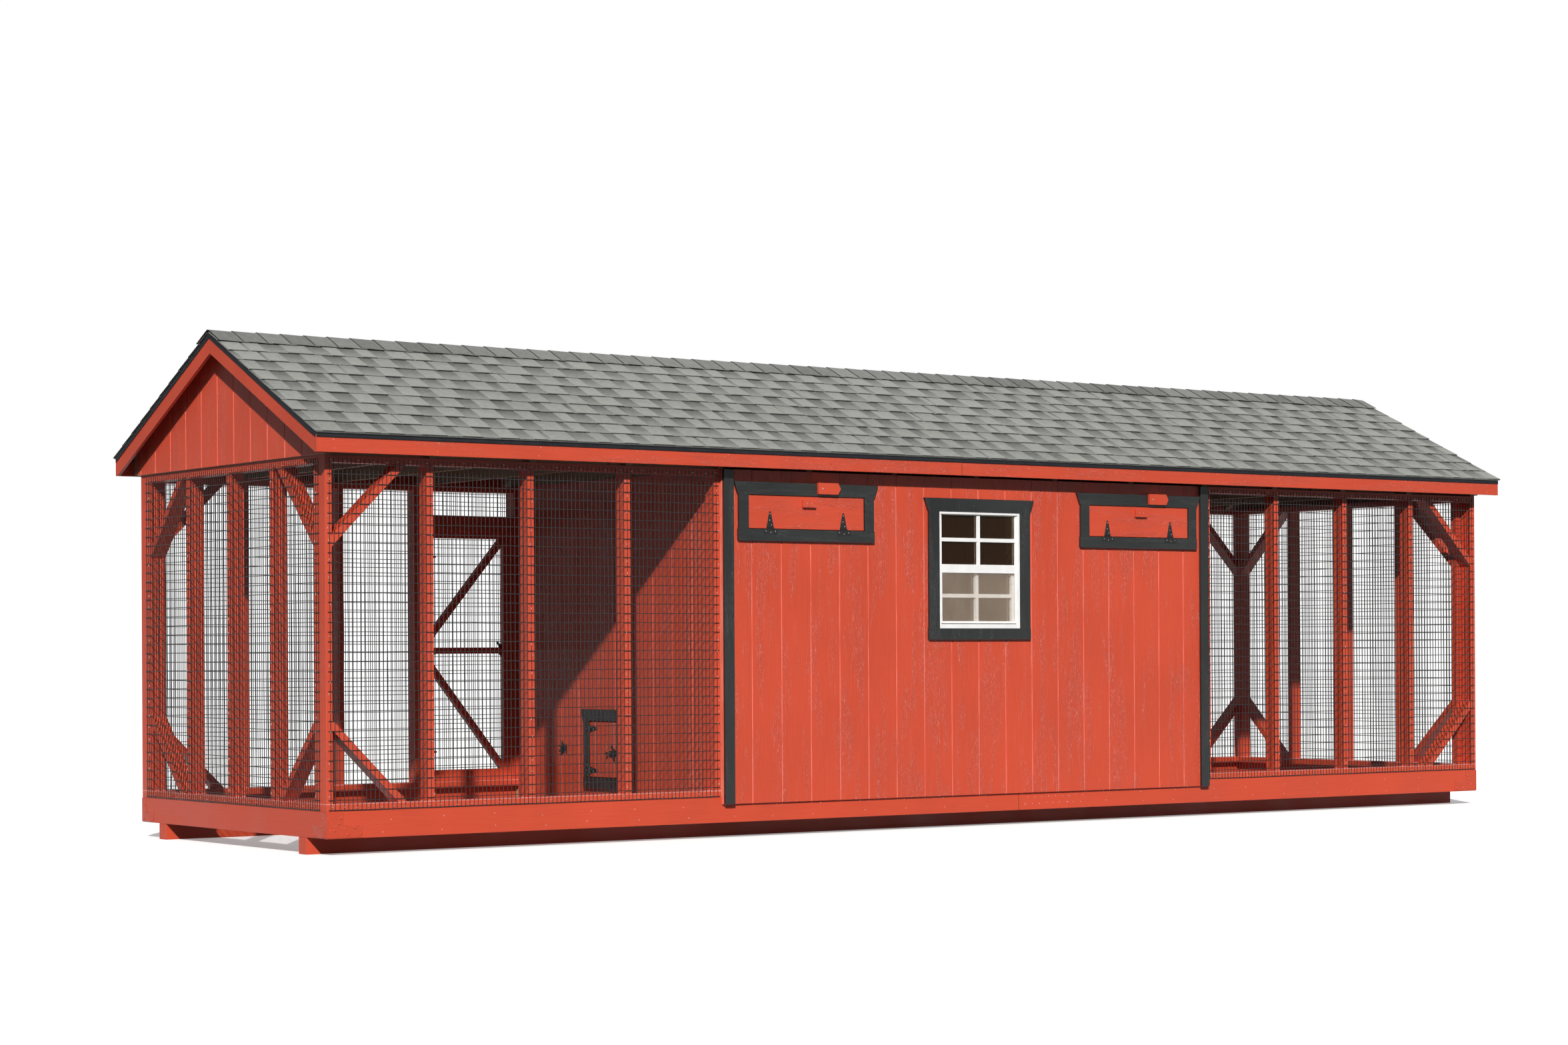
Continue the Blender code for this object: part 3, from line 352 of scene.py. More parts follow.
def shingle_stone():
    """Mineral granules on asphalt. Each point's tone says how pale its blend is; a tone below zero
    is a cut butt's bare asphalt and the painted shadow line beside it.
    """
    stone = Finish("shingle_granules", 0.92)
    tone = stone.add("ShaderNodeAttribute", attribute_name="tone").outputs["Fac"]
    speck = stone.noise((0.13, 0.13, 0.13), 2.0, 0.0, 0.7)
    blotch = stone.noise((1.3, 1.3, 1.3), 3.0)
    weather = stone.noise((48.0, 26.0, 30.0), 3.0)
    mixed = stone.maths("ADD", tone, stone.level(blotch, 0.3, 0.7, -0.13, 0.13))
    mixed = stone.maths("ADD", mixed, stone.level(weather, 0.35, 0.65, -0.07, 0.07))
    colour = stone.mix(stone.level(mixed, 0.0, 1.0), STONE_DARK, STONE_PALE)
    # bare asphalt on the cut butts, and the painted shadow line beside them
    asphalt_and_shadow_line = stone.level(tone, -0.7, -0.05, 1.0, 0.0)
    colour = stone.mix(asphalt_and_shadow_line, colour, ASPHALT_AND_SHADOW)
    colour = stone.mix(stone.level(speck, 0.60, 0.72, 0.0, 0.55), colour, (0.42, 0.42, 0.40))
    colour = stone.mix(stone.level(speck, 0.26, 0.40, 0.6, 0.0), colour, (0.05, 0.052, 0.05))
    return stone.made(colour, stone.level(speck, 0.3, 0.7, 0.82, 0.97), speck, 0.05, 0.8)


def coated_metal(name, tint, gloss=0.34, metallic=0.0, depth=0.004):
    """Painted or plastic-coated steel with a faint unevenness and rubbed spots."""
    coat = Finish(name, gloss, metallic)
    haze = coat.noise((2.2, 2.2, 2.2), 3.0)
    rub = coat.noise((0.5, 0.5, 0.5), 3.0, 0.5)
    colour = coat.mix(coat.level(rub, 0.58, 0.74, 0.0, 0.5), tint, tinted(tint, 1.6, 0.03))
    return coat.made(colour, coat.level(haze, 0.3, 0.7, gloss - 0.06, gloss + 0.14), rub, depth,
                     0.6)


def white_vinyl():
    """White plastic with a little dust on it."""
    vinyl = Finish("white_vinyl", 0.35)
    haze = vinyl.noise((3.0, 3.0, 3.0), 3.0)
    dust_and_glint_specks = vinyl.noise((0.3, 0.3, 0.3), 2.0)
    colour = vinyl.mix(vinyl.level(haze, 0.35, 0.7), (0.86, 0.865, 0.86), (0.93, 0.93, 0.92))
    colour = vinyl.mix(vinyl.level(dust_and_glint_specks, 0.66, 0.8, 0.0, 0.25), colour, (0.6, 0.58, 0.52))
    return vinyl.made(colour, vinyl.level(haze, 0.3, 0.7, 0.28, 0.45), haze, 0.004, 0.4)


LIT_INSIDE_FILM = 0.03  # the share of the light that the pane's warm film scatters: painted light standing in for the lit wood inside


def window_glass():
    """Clear float glass under a thin warm film of painted light, which stands in for the lit wood
    inside; it mirrors a little.
    """
    glass = Finish("window_glass", 0.03)
    wave = glass.noise((9.0, 9.0, 14.0), 1.0)
    ripple = glass.add("ShaderNodeBump", {"Height": wave, "Distance": 0.01 * INCH}).outputs[0]
    clear = glass.add("ShaderNodeBsdfTransparent", {"Color": (0.90, 0.93, 0.92, 1.0)})
    # painted light: the film's warm colour stands in for the lit wood seen through the pane
    film = glass.add("ShaderNodeBsdfDiffuse", {"Color": (0.70, 0.34, 0.16, 1.0)})
    mirror = glass.add("ShaderNodeBsdfGlossy", {"Roughness": 0.02, "Normal": ripple,
                                                "Color": (1.0, 0.86, 0.72, 1.0)})
    edge = glass.add("ShaderNodeFresnel", {"IOR": 1.5}).outputs[0]
    pane = glass.blend(LIT_INSIDE_FILM, clear.outputs[0], film.outputs[0])
    glass.surface(glass.blend(edge, pane, mirror.outputs[0]))
    glass.tree.nodes.remove(glass.shader)
    return glass.material


def insect_mesh():
    """Woven insect screen, too fine to model: its threads hide part of what is behind them."""
    mesh = Finish("insect_mesh", 0.6)
    weave = mesh.noise((0.07, 0.07, 0.07), 0.0)
    haze = mesh.noise((4.0, 4.0, 6.0), 2.0)
    mesh.feed(mesh.shader.inputs["Alpha"], mesh.level(weave, 0.3, 0.7, 0.20, 0.38))
    colour = mesh.mix(haze, (0.30, 0.235, 0.185), (0.46, 0.37, 0.285))
    return mesh.made(colour, mesh.level(haze, 0.3, 0.7, 0.5, 0.7), weave, 0.01, 0.5)


def floor_paper():
    """Pale paper that is a little brighter than its lighting, and turns white far out."""
    paper = Finish("floor_paper", 0.9)
    haze = paper.noise((60.0, 60.0, 60.0), 2.0)
    away = paper.add("ShaderNodeVectorMath", {0: paper.place}, operation="LENGTH")
    fade = paper.level(away.outputs["Value"], *FLOOR_FADE)
    white = paper.add("ShaderNodeEmission", {"Strength": 1.0}).outputs[0]
    pale = paper.add("ShaderNodeEmission", {"Strength": 0.3}).outputs[0]
    lifted = paper.add("ShaderNodeAddShader", {0: paper.shader.outputs[0], 1: pale}).outputs[0]
    paper.surface(paper.blend(fade, lifted, white))
    return paper.made(paper.mix(haze, (0.86, 0.86, 0.855), (0.89, 0.89, 0.885)),
                      paper.level(haze, 0.3, 0.7, 0.85, 0.95))


RED = (0.625, 0.070, 0.028)
GABLE_LIT_RED = (0.70, 0.082, 0.036)  # a little paler, as the photo's gable is: painted light for the end wall that faces the light from the left
BLACK = (0.0165, 0.0190, 0.0195)
PINE = (0.56, 0.38, 0.20)
ROOF_PINE_SHADED = (0.34, 0.235, 0.145)  # the roof's timber and deck: pine darkened as painted shade, for the shade under the roof
STEEL = (0.55, 0.54, 0.52)
WARM_STEEL = (0.62, 0.56, 0.52)
INK = (0.012, 0.013, 0.014)
DRIP_PAINT = (0.008, 0.010, 0.014)
HARDWARE_PAINT = (0.007, 0.007, 0.008)


# Shapes


class Shape:
    """Points and faces in inches, gathered part by part and then made into one piece."""

    def __init__(self):
        self.points = []
        self.faces = []
        self.tones = []

    def loft(self, rings, tone=1.0):
        """Skins rings of points that have equal counts, and closes both ends. tone is one
        number, or one number for each ring."""
        first = len(self.points)
        count = len(rings[0])
        for i, ring in enumerate(rings):
            self.points += [tuple(p) for p in ring]
            self.tones += [tone[i] if isinstance(tone, (list, tuple)) else tone] * count
        for i in range(len(rings) - 1):
            low, high = first + i * count, first + (i + 1) * count
            for j in range(count):
                k = (j + 1) % count
                self.faces.append((low + j, low + k, high + k, high + j))
        last = first + (len(rings) - 1) * count
        self.faces.append(tuple(range(first, first + count))[::-1])
        self.faces.append(tuple(range(last, last + count)))

    def piece(self, name, finish, body, slot, replaces=(), smooth=False, edge=0.0):
        data = bpy.data.meshes.new(name)
        data.from_pydata([Vector(p) * INCH for p in self.points], [], self.faces)
        work = bmesh.new()
        work.from_mesh(data)
        bmesh.ops.recalc_face_normals(work, faces=work.faces)
        work.to_mesh(data)
        work.free()
        if len(set(self.tones)) > 1:
            tones = data.attributes.new("tone", "FLOAT", "POINT")
            tones.data.foreach_set("value", self.tones)
        if smooth:
            data.shade_smooth()
            data.set_sharp_from_angle(angle=math.radians(40))
        data.materials.append(finish)
        obj = bpy.data.objects.new(name, data)
        bpy.context.scene.collection.objects.link(obj)
        if edge:
            ease(obj, edge)
        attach(obj, body)
        if replaces:
            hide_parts(*replaces)
        return obj


def ease(obj, width):
    """Rounds the sharp edges of a board or plate. Width is in inches."""
    weld = obj.modifiers.new("weld", "WELD")
    weld.merge_threshold = 0.00001
    bevel = obj.modifiers.new("eased_edges", "BEVEL")
    bevel.width = width * INCH
    bevel.segments = 2
    bevel.limit_method = "ANGLE"
    bevel.angle_limit = math.radians(35)


class Place:
    """A local frame: across and along lie in a face, and out leaves it. A place with no along
    of its own stands upright."""

    def __init__(self, at, across, out, along=(0, 0, 1)):
        self.at, self.across, self.along, self.out = map(Vector, (at, across, along, out))

    def point(self, a, b, c):
        return self.at + self.across * a + self.along * b + self.out * c


def circle(centre, first, second, radius, sides):
    steps = [2 * math.pi * i / sides for i in range(sides)]
    return [centre + first * (radius * math.cos(s)) + second * (radius * math.sin(s))
            for s in steps]


def rod(shape, start, end, radius, sides=12):
    """A round bar between two points, with its ends slightly domed."""
    start, end = Vector(start), Vector(end)
    ahead = (end - start).normalized()
    first = ahead.orthogonal().normalized()
    second = ahead.cross(first)
    dome = ahead * (radius * 0.18)
    stations = ((start, 0.82), (start + dome, 1.0), (end - dome, 1.0), (end, 0.82))
    shape.loft([circle(centre, first, second, radius * share, sides)
                for centre, share in stations])


def plate(shape, place, outline, low, high):
    """A flat plate of an outline given across and along, from low to high out of the face."""
    shape.loft([[place.point(a, b, low) for a, b in outline],
                [place.point(a, b, high) for a, b in outline]])


def block(shape, place, a, b, c):
    """A box between two stretches across, along and out of the face."""
    plate(shape, place, [(a[0], b[0]), (a[1], b[0]), (a[1], b[1]), (a[0], b[1])], c[0], c[1])


def screw_head(shape, place, a, b, seat, radius=0.14, height=0.07, sides=10):
    """A domed screw head on a face."""
    centre = place.point(a, b, seat)
    rings = [circle(centre + place.out * (height * rise), place.across, place.along,
                    radius * reach, sides)
             for reach, rise in ((1.0, 0.0), (0.95, 0.45), (0.7, 0.85), (0.3, 1.0))]
    shape.loft(rings)


def screws(name, body, place, spots, seat, radius=0.11, height=0.05):
    """A piece of its own for the screws at a few (across, along) spots."""
    heads = Shape()
    for across, along in spots:
        screw_head(heads, place, across, along, seat, radius, height)
    heads.piece(name, ZINC, body, "black_metal", smooth=True)


def steel(shape, name, body, edge=0.02):
    shape.piece(name, HARDWARE, body, "black_metal", smooth=True, edge=edge)


# Welded wire

WIRE = 0.082  # radius
CELL_ACROSS = 1.0
CELL_UP = 2.0
WIRE_STEP = 9.0  # between the points where a wire may waver
WIRE_SIDES = 5
UPRIGHT_DEPTH = 0.055  # how far a wire's middle stands off the studs
CROSSING_DEPTH = 0.13
DOOR_MARGIN = 0.6  # from the leaf to the wire round its doorway
DOOR_INSET = 0.35  # from the leaf's edge to its own wire


def waver(amount):
    return rng.uniform(-amount, amount)


def wire_bar(shape, start, end, sideways, outward):
    """One wire, which wavers a little sideways and in and out."""
    start, end = Vector(start), Vector(end)
    count = max(2, round((end - start).length / WIRE_STEP) + 1)
    rings = []
    for i in range(count):
        centre = start.lerp(end, i / (count - 1))
        centre = centre + sideways * waver(0.045) + outward * waver(0.03)
        rings.append(circle(centre, sideways, outward, WIRE, WIRE_SIDES))
    shape.loft(rings)


def outside(low, high, gap):
    """The parts of a stretch that a gap leaves, or the whole stretch."""
    if not gap:
        return [(low, high)]
    return [part for part in ((low, gap[0]), (gap[1], high)) if part[1] - part[0] > 0.5]


def wire_panel(name, side, low, high, body, gap=None, replaces=()):
    """Welded wire over a flat field. low and high are the field's corners as (along, up), and
    gap is the corners of a doorway that it leaves open."""
    outward = OUT[side]
    across = Vector((1, 0, 0)) if side in ("front", "rear") else Vector((0, 1, 0))
    face = HALF_WIDTH if side in ("front", "rear") else HALF_LENGTH
    shape = Shape()

    def spot(u, v, depth):
        return across * u + UP * v + outward * (face + depth)

    count = int((high[0] - low[0]) / CELL_ACROSS)
    first = (low[0] + high[0] - count * CELL_ACROSS) / 2
    for i in range(count + 1):
        u = first + i * CELL_ACROSS
        crossing = gap and gap[0][0] < u < gap[1][0]
        for v0, v1 in outside(low[1], high[1], (gap[0][1], gap[1][1]) if crossing else None):
            wire_bar(shape, spot(u, v0, UPRIGHT_DEPTH), spot(u, v1, UPRIGHT_DEPTH),
                     across, outward)
    for i in range(int((high[1] - low[1]) / CELL_UP) + 1):
        v = low[1] + 0.15 + i * CELL_UP
        crossing = gap and gap[0][1] < v < gap[1][1]
        for u0, u1 in outside(low[0], high[0], (gap[0][0], gap[1][0]) if crossing else None):
            wire_bar(shape, spot(u0, v, CROSSING_DEPTH), spot(u1, v, CROSSING_DEPTH),
                     UP, outward)
    shape.piece(name, COATED_WIRE, body, "black_metal", replaces, smooth=True)


def run_wires():
    """The welded wire of both runs and of their screen doors, in place of the CAD's sheets."""
    for hand in ("left", "right"):
        leaf = span(f"run_door_{hand}")
        doorway = grown(leaf, DOOR_MARGIN)
        for side in ("front", "rear", "end"):
            node = f"wire_{hand}_{side}"
            low, high = span(node)
            gap = doorway if side == "rear" else None
            if side == "end":
                wire_panel(f"{node}_mesh", hand, (low.y, low.z), (high.y, high.z), "coop", gap,
                           (node,))
            else:
                wire_panel(f"{node}_mesh", side, (low.x, low.z), (high.x, high.z), "coop", gap,
                           (node,))
        wire_panel(f"run_door_{hand}_mesh", "rear", *grown(leaf, -DOOR_INSET),
                   f"run_door_{hand}")


def grown(leaf, margin):
    """The (along, up) corners of a door's leaf, moved out by a margin."""
    low, high = leaf
    return (low.x - margin, low.z - margin), (high.x + margin, high.z + margin)


STAPLE_GAP = 3.2


def staple(shape, place, upright):
    """A staple's crown: a short flattened bar that stands just proud of the wire."""
    long, short = 0.22, 0.035
    a, b = (short, long) if upright else (long, short)
    block(shape, place, (-a, a), (-b, b), (0.10, 0.205))


def stud_lines(side, hand):
    """The middle lines of the studs that a panel is stapled to."""
    sign = -1 if hand == "left" else 1
    if side == "end":
        reach = span(f"run_frame_{hand}_end")[1].y
        return [-reach + STUD / 2 + i * (2 * reach - STUD) / 4 for i in range(5)]
    inner = HALF_COOP + STUD / 2
    outer = HALF_LENGTH - STUD / 2
    return [sign * (outer - (outer - inner) * i / 4) for i in range(5)]


def staples():
    """Staples along each panel's upper and lower rails, and up each of its studs."""
    shape = Shape()
    for hand in ("left", "right"):
        leaf_low, leaf_high = span(f"run_door_{hand}")
        for side in ("front", "rear", "end"):
            low, high = span(f"wire_{hand}_{side}")
            facing = hand if side == "end" else side
            outward = OUT[facing]
            across = Vector((0, 1, 0)) if side == "end" else Vector((1, 0, 0))
            face = HALF_LENGTH if side == "end" else HALF_WIDTH
            start, stop = (low.y, high.y) if side == "end" else (low.x, high.x)
            for v in (BASE_TOP + STUD / 2, WALL_TOP - STUD / 2 - 0.3):
                u = start + 0.8
                while u < stop - 0.5:
                    place = Place(across * u + UP * (v + waver(0.2)) + outward * face,
                                  across, outward)
                    staple(shape, place, False)
                    u += STAPLE_GAP + waver(0.6)
            for u in stud_lines(side, hand):
                doorway = side == "rear" and leaf_low.x < u < leaf_high.x
                v = BASE_TOP + 3.0 if not doorway else leaf_high.z + 2.0
                while v < WALL_TOP - 3.0:
                    place = Place(across * (u + waver(0.3)) + UP * v + outward * face,
                                  across, outward)
                    staple(shape, place, rng.random() < 0.7)
                    v += STAPLE_GAP + waver(0.9)
    shape.piece("staples", GALVANISED, "coop", "black_metal")


# Roof

COURSES = 10
LAP_SHARE = 1.07  # a course runs on under the next one
BASE_BUTT, BASE_HEAD = 0.31, 0.13  # a course's lower layer above the deck, at butt and head
TAB_THICK = 0.12
UNDER_BUTT, UNDER_HEAD = 0.255, 0.03
STARTER = 7.0  # the depth of the strip under the first course
STRIP = 39.4  # one shingle's length
TAB_WIDTH = (3.2, 6.2)
GAP_WIDTH = (3.0, 5.4)
CUT_EDGE = -0.9  # the tone of a butt's cut face, which is bare asphalt; the painted shadow line along the butt fades up from it
SHADOW_LINE_SHARE = 0.045  # the share of a course over which the butt's painted shadow line fades into the stone


def deck_top(reach):
    """The deck's upper face at a distance from the ridge line."""
    return DECK_HIGH.z - PITCH * reach


def slope_point(sign, x, reach, rise):
    return Vector((x, sign * reach, deck_top(reach) + rise))


def shingle_layer(shape, sign, x0, x1, butt, step, top, under, tones, flare=0.0):
    """A strip of one course between two places along the roof, from butt edge to head."""
    rings = []
    for share, _ in tones:
        reach = butt - step * share
        rise_top = top[0] + (top[1] - top[0]) * share
        rise_under = under[0] + (under[1] - under[0]) * share
        widen = flare * (1 - share)
        rings.append([slope_point(sign, x0 - widen, reach, rise_under),
                      slope_point(sign, x1 + widen, reach, rise_under),
                      slope_point(sign, x1 + widen, reach, rise_top),
                      slope_point(sign, x0 - widen, reach, rise_top)])
    shape.loft(rings, [tone for _, tone in tones])


def shingles(node, sign):
    """One slope of laminated shingles: strips laid in courses, with raised tabs on each."""
    shape = Shape()
    edge = -SHINGLE_LOW.y
    half = SHINGLE_HIGH.x - 0.05
    step = edge / COURSES
    shingle_layer(shape, sign, -half + 0.15, half - 0.15, edge - 0.05, STARTER,
                  (0.20, 0.12), (0.06, 0.03), ((0.0, 0.3), (1.0, 0.3)))
    for course in range(COURSES):
        butt = edge - course * step
        share = LAP_SHARE if course < COURSES - 1 else 0.9
        x = -half - rng.uniform(0.1, 0.9) * STRIP
        while x < half:
            x0, x1 = max(x, -half), min(x + STRIP - 0.05, half)
            if x1 - x0 > 1.0:
                lift = waver(0.012)
                tint = rng.uniform(-0.05, 0.05)
                # each strip darkens towards the course above: the shingle's own darker band, with
                # painted shade under the next course's butt; at its butt, a painted shadow line
                tones = ((0.0, CUT_EDGE), (SHADOW_LINE_SHARE, 0.66 + tint), (0.35, 0.50 + tint),
                         (0.7, 0.22 + tint), (share, 0.04 + tint))
                shingle_layer(shape, sign, x0, x1, butt + waver(0.04), step,
                              (BASE_BUTT + lift, BASE_HEAD), (UNDER_BUTT, UNDER_HEAD), tones)
                tabs(shape, sign, x0, x1, butt, step, share)
            x += STRIP
    shape.piece(f"{node}_courses", SHINGLE, "coop", "shingle", (node,))


def tabs(shape, sign, x0, x1, butt, step, share):
    """The raised tabs of one shingle."""
    x = x0 + rng.uniform(0.0, 2.0)
    while x < x1 - 0.8:
        width = min(rng.uniform(*TAB_WIDTH), x1 - x)
        tint = rng.uniform(-0.10, 0.08)
        # each tab darkens a little towards the course above, and starts with the painted shadow
        # line at its butt
        tones = ((0.0, CUT_EDGE), (SHADOW_LINE_SHARE, 0.97 + tint), (0.45, 0.90 + tint),
                 (share, 0.70 + tint))
        lift = waver(0.02)
        top = (BASE_BUTT + TAB_THICK + lift, BASE_HEAD + TAB_THICK - 0.005)
        shingle_layer(shape, sign, x, x + width, butt + 0.02 + waver(0.03), step, top,
                      (BASE_BUTT - 0.02, BASE_HEAD - 0.02), tones, rng.uniform(-0.1, 0.12))
        x += width + rng.uniform(*GAP_WIDTH)


CAP_EXPOSURE = 5.6
CAP_LENGTH = 7.0
CAP_THICK = 0.13
CAP_BEND = 0.35  # how gently a cap bends over the ridge


def ridge_caps():
    """Bent shingles over the ridge, each lapping the one before it."""
    low, high = span("ridge_cap")
    half = high.y - 0.05
    shape = Shape()
    x = low.x + 0.05
    while x < high.x - 0.5:
        end = min(x + CAP_LENGTH, high.x - 0.05)
        tint = rng.uniform(0.18, 0.62)
        edge = half + waver(0.08)
        rings = []
        start = x + waver(0.05)
        for at, lift in ((start, 0.0), (start + 0.22, -0.01), (end, -0.20)):
            reaches = [edge, 3.2, 1.2, 0.45, 0.0, -0.45, -1.2, -3.2, -edge]
            top = [Vector((at, h, high.z + lift - PITCH * math.hypot(h, CAP_BEND)))
                   for h in reaches]
            under = [p - UP * CAP_THICK for p in reversed(top)]
            rings.append(top + under)
        # bare asphalt on each cap's cut butt, then a painted shadow line that fades onto the stone
        shape.loft(rings, [CUT_EDGE, tint, tint])
        x += CAP_EXPOSURE
    shape.piece("ridge_cap_shingles", SHINGLE, "coop", "shingle", ("ridge_cap",))


DRIP_THICK = 0.035
DRIP_FACE = 0.92
DRIP_PIECE = 118.8  # ten-foot lengths, less their laps
DRIP_LAP = 1.3
FIRST_LAP = -86.7  # along X
RAKE_LAP = 0.41  # where a rake's two lengths lap, as a share of its run


def drip_profile(thick):
    """The drip edge's section as (outwards, up): a flange on the deck, a face and a hem."""
    outer = [(-1.6, 0.045), (0.03, 0.045), (0.05, -DRIP_FACE), (0.16, -DRIP_FACE - 0.12)]
    inner = [(0.14, -DRIP_FACE - 0.14), (0.02, -DRIP_FACE - 0.02), (0.0, 0.012), (-1.6, 0.012)]
    return [(u + thick, v) for u, v in outer] + inner


def drip_run(shape, start, end, outward, upward, proud):
    """One length of drip edge between two points on the deck's upper edge."""
    rings = []
    for at in (start, end):
        rings.append([at + outward * u + upward * v for u, v in drip_profile(proud)])
    shape.loft(rings)


def drip_edges():
    """Black drip edge in lapped lengths: along both eaves and up the four rakes."""
    half = DECK_HIGH.x
    eave = -DECK_LOW.y
    breaks = [FIRST_LAP + i * DRIP_PIECE for i in range(-1, 4)]
    for name, sign in (("front", -1), ("rear", 1)):
        shape = Shape()
        stops = [-half] + [b for b in breaks if -half + 2 < b < half - 2] + [half]
        outward = Vector((0, sign, 0))
        for i in range(len(stops) - 1):
            start = stops[i]
            end = stops[i + 1] + (DRIP_LAP if i < len(stops) - 2 else 0.0)
            proud = DRIP_THICK * (1 + i % 2)
            drip_run(shape, slope_point(sign, start, eave, 0.0),
                     slope_point(sign, end, eave, 0.0), outward, UP, proud)
        shape.piece(f"drip_edge_{name}", DRIP, "coop", "black_metal", edge=0.01)
    for name, way in (("left", -1), ("right", 1)):
        for side, sign in (("front", -1), ("rear", 1)):
            shape = Shape()
            outward = Vector((way, 0, 0))
            upward = Vector((0, sign * PITCH, 1)).normalized()
            spots = (eave + 0.05, eave * RAKE_LAP, 0.05)
            for i in range(2):
                far = spots[i + 1] - (DRIP_LAP if i == 0 else 0.0)
                drip_run(shape, slope_point(sign, way * half, spots[i], 0.0),
                         slope_point(sign, way * half, far, 0.0), outward, upward,
                         DRIP_THICK * (2 - i))
            shape.piece(f"drip_edge_{name}_{side}", DRIP, "coop", "black_metal", edge=0.01)


# Hardware

HINGE_THICK = 0.09
KNUCKLE = 0.12  # radius
STRAP_TIP = 0.24  # radius


def strap_rings(place, length, base, drop):
    """A tapered strap that steps down from the hinge line to its leaf and ends in a round tip."""
    straight = length - STRAP_TIP
    stations = [(0.02, base, -HINGE_THICK / 2), (0.16, base, -HINGE_THICK / 2),
                (0.36, base, -drop), (length * 0.3, base * 0.82, -drop),
                (straight, 2 * STRAP_TIP, -drop)]
    for turn in (35, 60, 80):
        angle = math.radians(turn)
        stations.append((straight + STRAP_TIP * math.sin(angle),
                         2 * STRAP_TIP * math.cos(angle), -drop))
    rings = []
    for along, width, low in stations:
        half = width / 2
        rings.append([place.point(-half, along, low), place.point(half, along, low),
                      place.point(half, along, low + HINGE_THICK),
                      place.point(-half, along, low + HINGE_THICK)])
    return rings


def t_hinge(name, place, leaf_body, length, base, plate_half, leaf_drop, seat_drop):
    """A black T-hinge. The place's origin is on the hinge line; along points to the strap."""
    strap = Shape()
    strap.loft(strap_rings(place, length, base, leaf_drop))
    rod(strap, place.point(-base / 2, 0, 0), place.point(base / 2, 0, 0), KNUCKLE)
    steel(strap, f"{name}_strap", leaf_body, 0.015)
    seat = Shape()
    corner, depth = 0.15, 1.2
    outline = [(-plate_half, 0.02), (-plate_half, corner - depth), (corner - plate_half, -depth),
               (plate_half - corner, -depth), (plate_half, corner - depth), (plate_half, 0.02)]
    seat_face = HINGE_THICK * 0.8 - seat_drop
    plate(seat, place, outline, -seat_drop, seat_face)
    for end in (-1, 1):
        rod(seat, place.point(end * (base / 2 + 0.04), 0, 0),
            place.point(end * plate_half, 0, 0), KNUCKLE)
    steel(seat, f"{name}_plate", "coop", 0.015)
    screws(f"{name}_strap_screws", leaf_body, place,
           ((base * 0.2, length * 0.24), (-0.1, length * 0.5), (0, length * 0.86)),
           HINGE_THICK - leaf_drop)
    screws(f"{name}_plate_screws", "coop", place,
           ((-0.68 * plate_half, -0.42), (0.0, -0.72), (0.68 * plate_half, -0.46)), seat_face)


def joint_of(name):
    for joint in frame["joints"]:
        if joint["name"] == name:
            return joint
    raise ValueError(name)


def hinge_line(joint_name):
    return Vector(joint_of(joint_name)["pos_m"]) / INCH


PULL_ASIDE = 0.3  # from the flap's middle
PULL_HEIGHT = 73.85
PULL_HALF = (1.78, 0.88)
PULL_SEAT = 0.25
PULL_PROUD = 0.5
FLAP_PROUD = 0.46  # from the siding to the flap's face
VENT_HINGES = (-10.1, 10.0)  # from the flap's middle


def vent_hardware():
    """Each vent's two hinges, its button's screw, and the pull on its flap."""
    for hand in ("left", "right"):
        flap = f"vent_flap_{hand}"
        line = hinge_line(f"{flap}_tip")
        face = -span("siding_front")[0].y + FLAP_PROUD
        seat = -span(f"vent_trim_{hand}")[0].y
        for i, offset in enumerate(VENT_HINGES):
            place = Place((line.x + offset, line.y, line.z), (1, 0, 0), (0, -1, 0))
            t_hinge(f"vent_{hand}_hinge_{i + 1}", place, flap, 3.95, 1.95, 1.85,
                    -line.y - face, -line.y - seat)
        button = f"turn_button_{hand}"
        pivot = hinge_line(f"{button}_turn")
        place = Place((pivot.x, span(button)[0].y, pivot.z), (1, 0, 0), (0, -1, 0))
        screws(f"{button}_screw", button, place, ((0, 0),), 0.0, 0.17, 0.07)
        low, high = span(flap)
        pull = Shape()
        middle = (low.x + high.x) / 2
        place = Place((middle + PULL_ASIDE, low.y, PULL_HEIGHT), (1, 0, 0), (0, -1, 0))
        wide, tall = PULL_HALF
        block(pull, place, (-wide, wide), (-tall, tall), (-PULL_SEAT, PULL_PROUD))
        pull.piece(f"vent_pull_{hand}", RED_FASCIA, flap, "red_wood", edge=0.07)
        screws(f"vent_pull_{hand}_screws", flap, place, ((-0.7, 0.1), (0.5, 0.1)), PULL_PROUD,
               0.09, 0.04)


LATCH_PLATE = 0.12
LATCH_ARM = 0.22
CATCH_PLATE = 0.1


def gate_latch(name, place, body):
    """A small black gate latch: a flared base, a rocking arm and a round knob."""
    shape = Shape()
    base = [(-1.5, -1.0), (-0.5, -0.75), (0.2, -1.3), (1.2, -2.4), (1.1, -0.9), (1.6, -0.5),
            (1.6, 0.6), (0.9, 0.9), (-0.4, 2.0), (-0.8, 1.8), (0.0, 0.6), (-1.5, 0.5)]
    plate(shape, place, base, 0.0, LATCH_PLATE)
    block(shape, place, (-0.4, 2.3), (-LATCH_ARM, LATCH_ARM), (LATCH_PLATE, 0.34))
    rod(shape, place.point(-1.2, 0, 0.1), place.point(-1.2, 0, 0.75), 0.17)
    rod(shape, place.point(-1.2, 0, 0.7), place.point(-1.2, 0, 1.0), 0.36, 16)
    steel(shape, name, body)
    screws(f"{name}_screws", body, place, ((-0.9, 0.2), (-0.5, 1.75), (1.0, -2.0), (1.3, 0.2)),
           LATCH_PLATE)


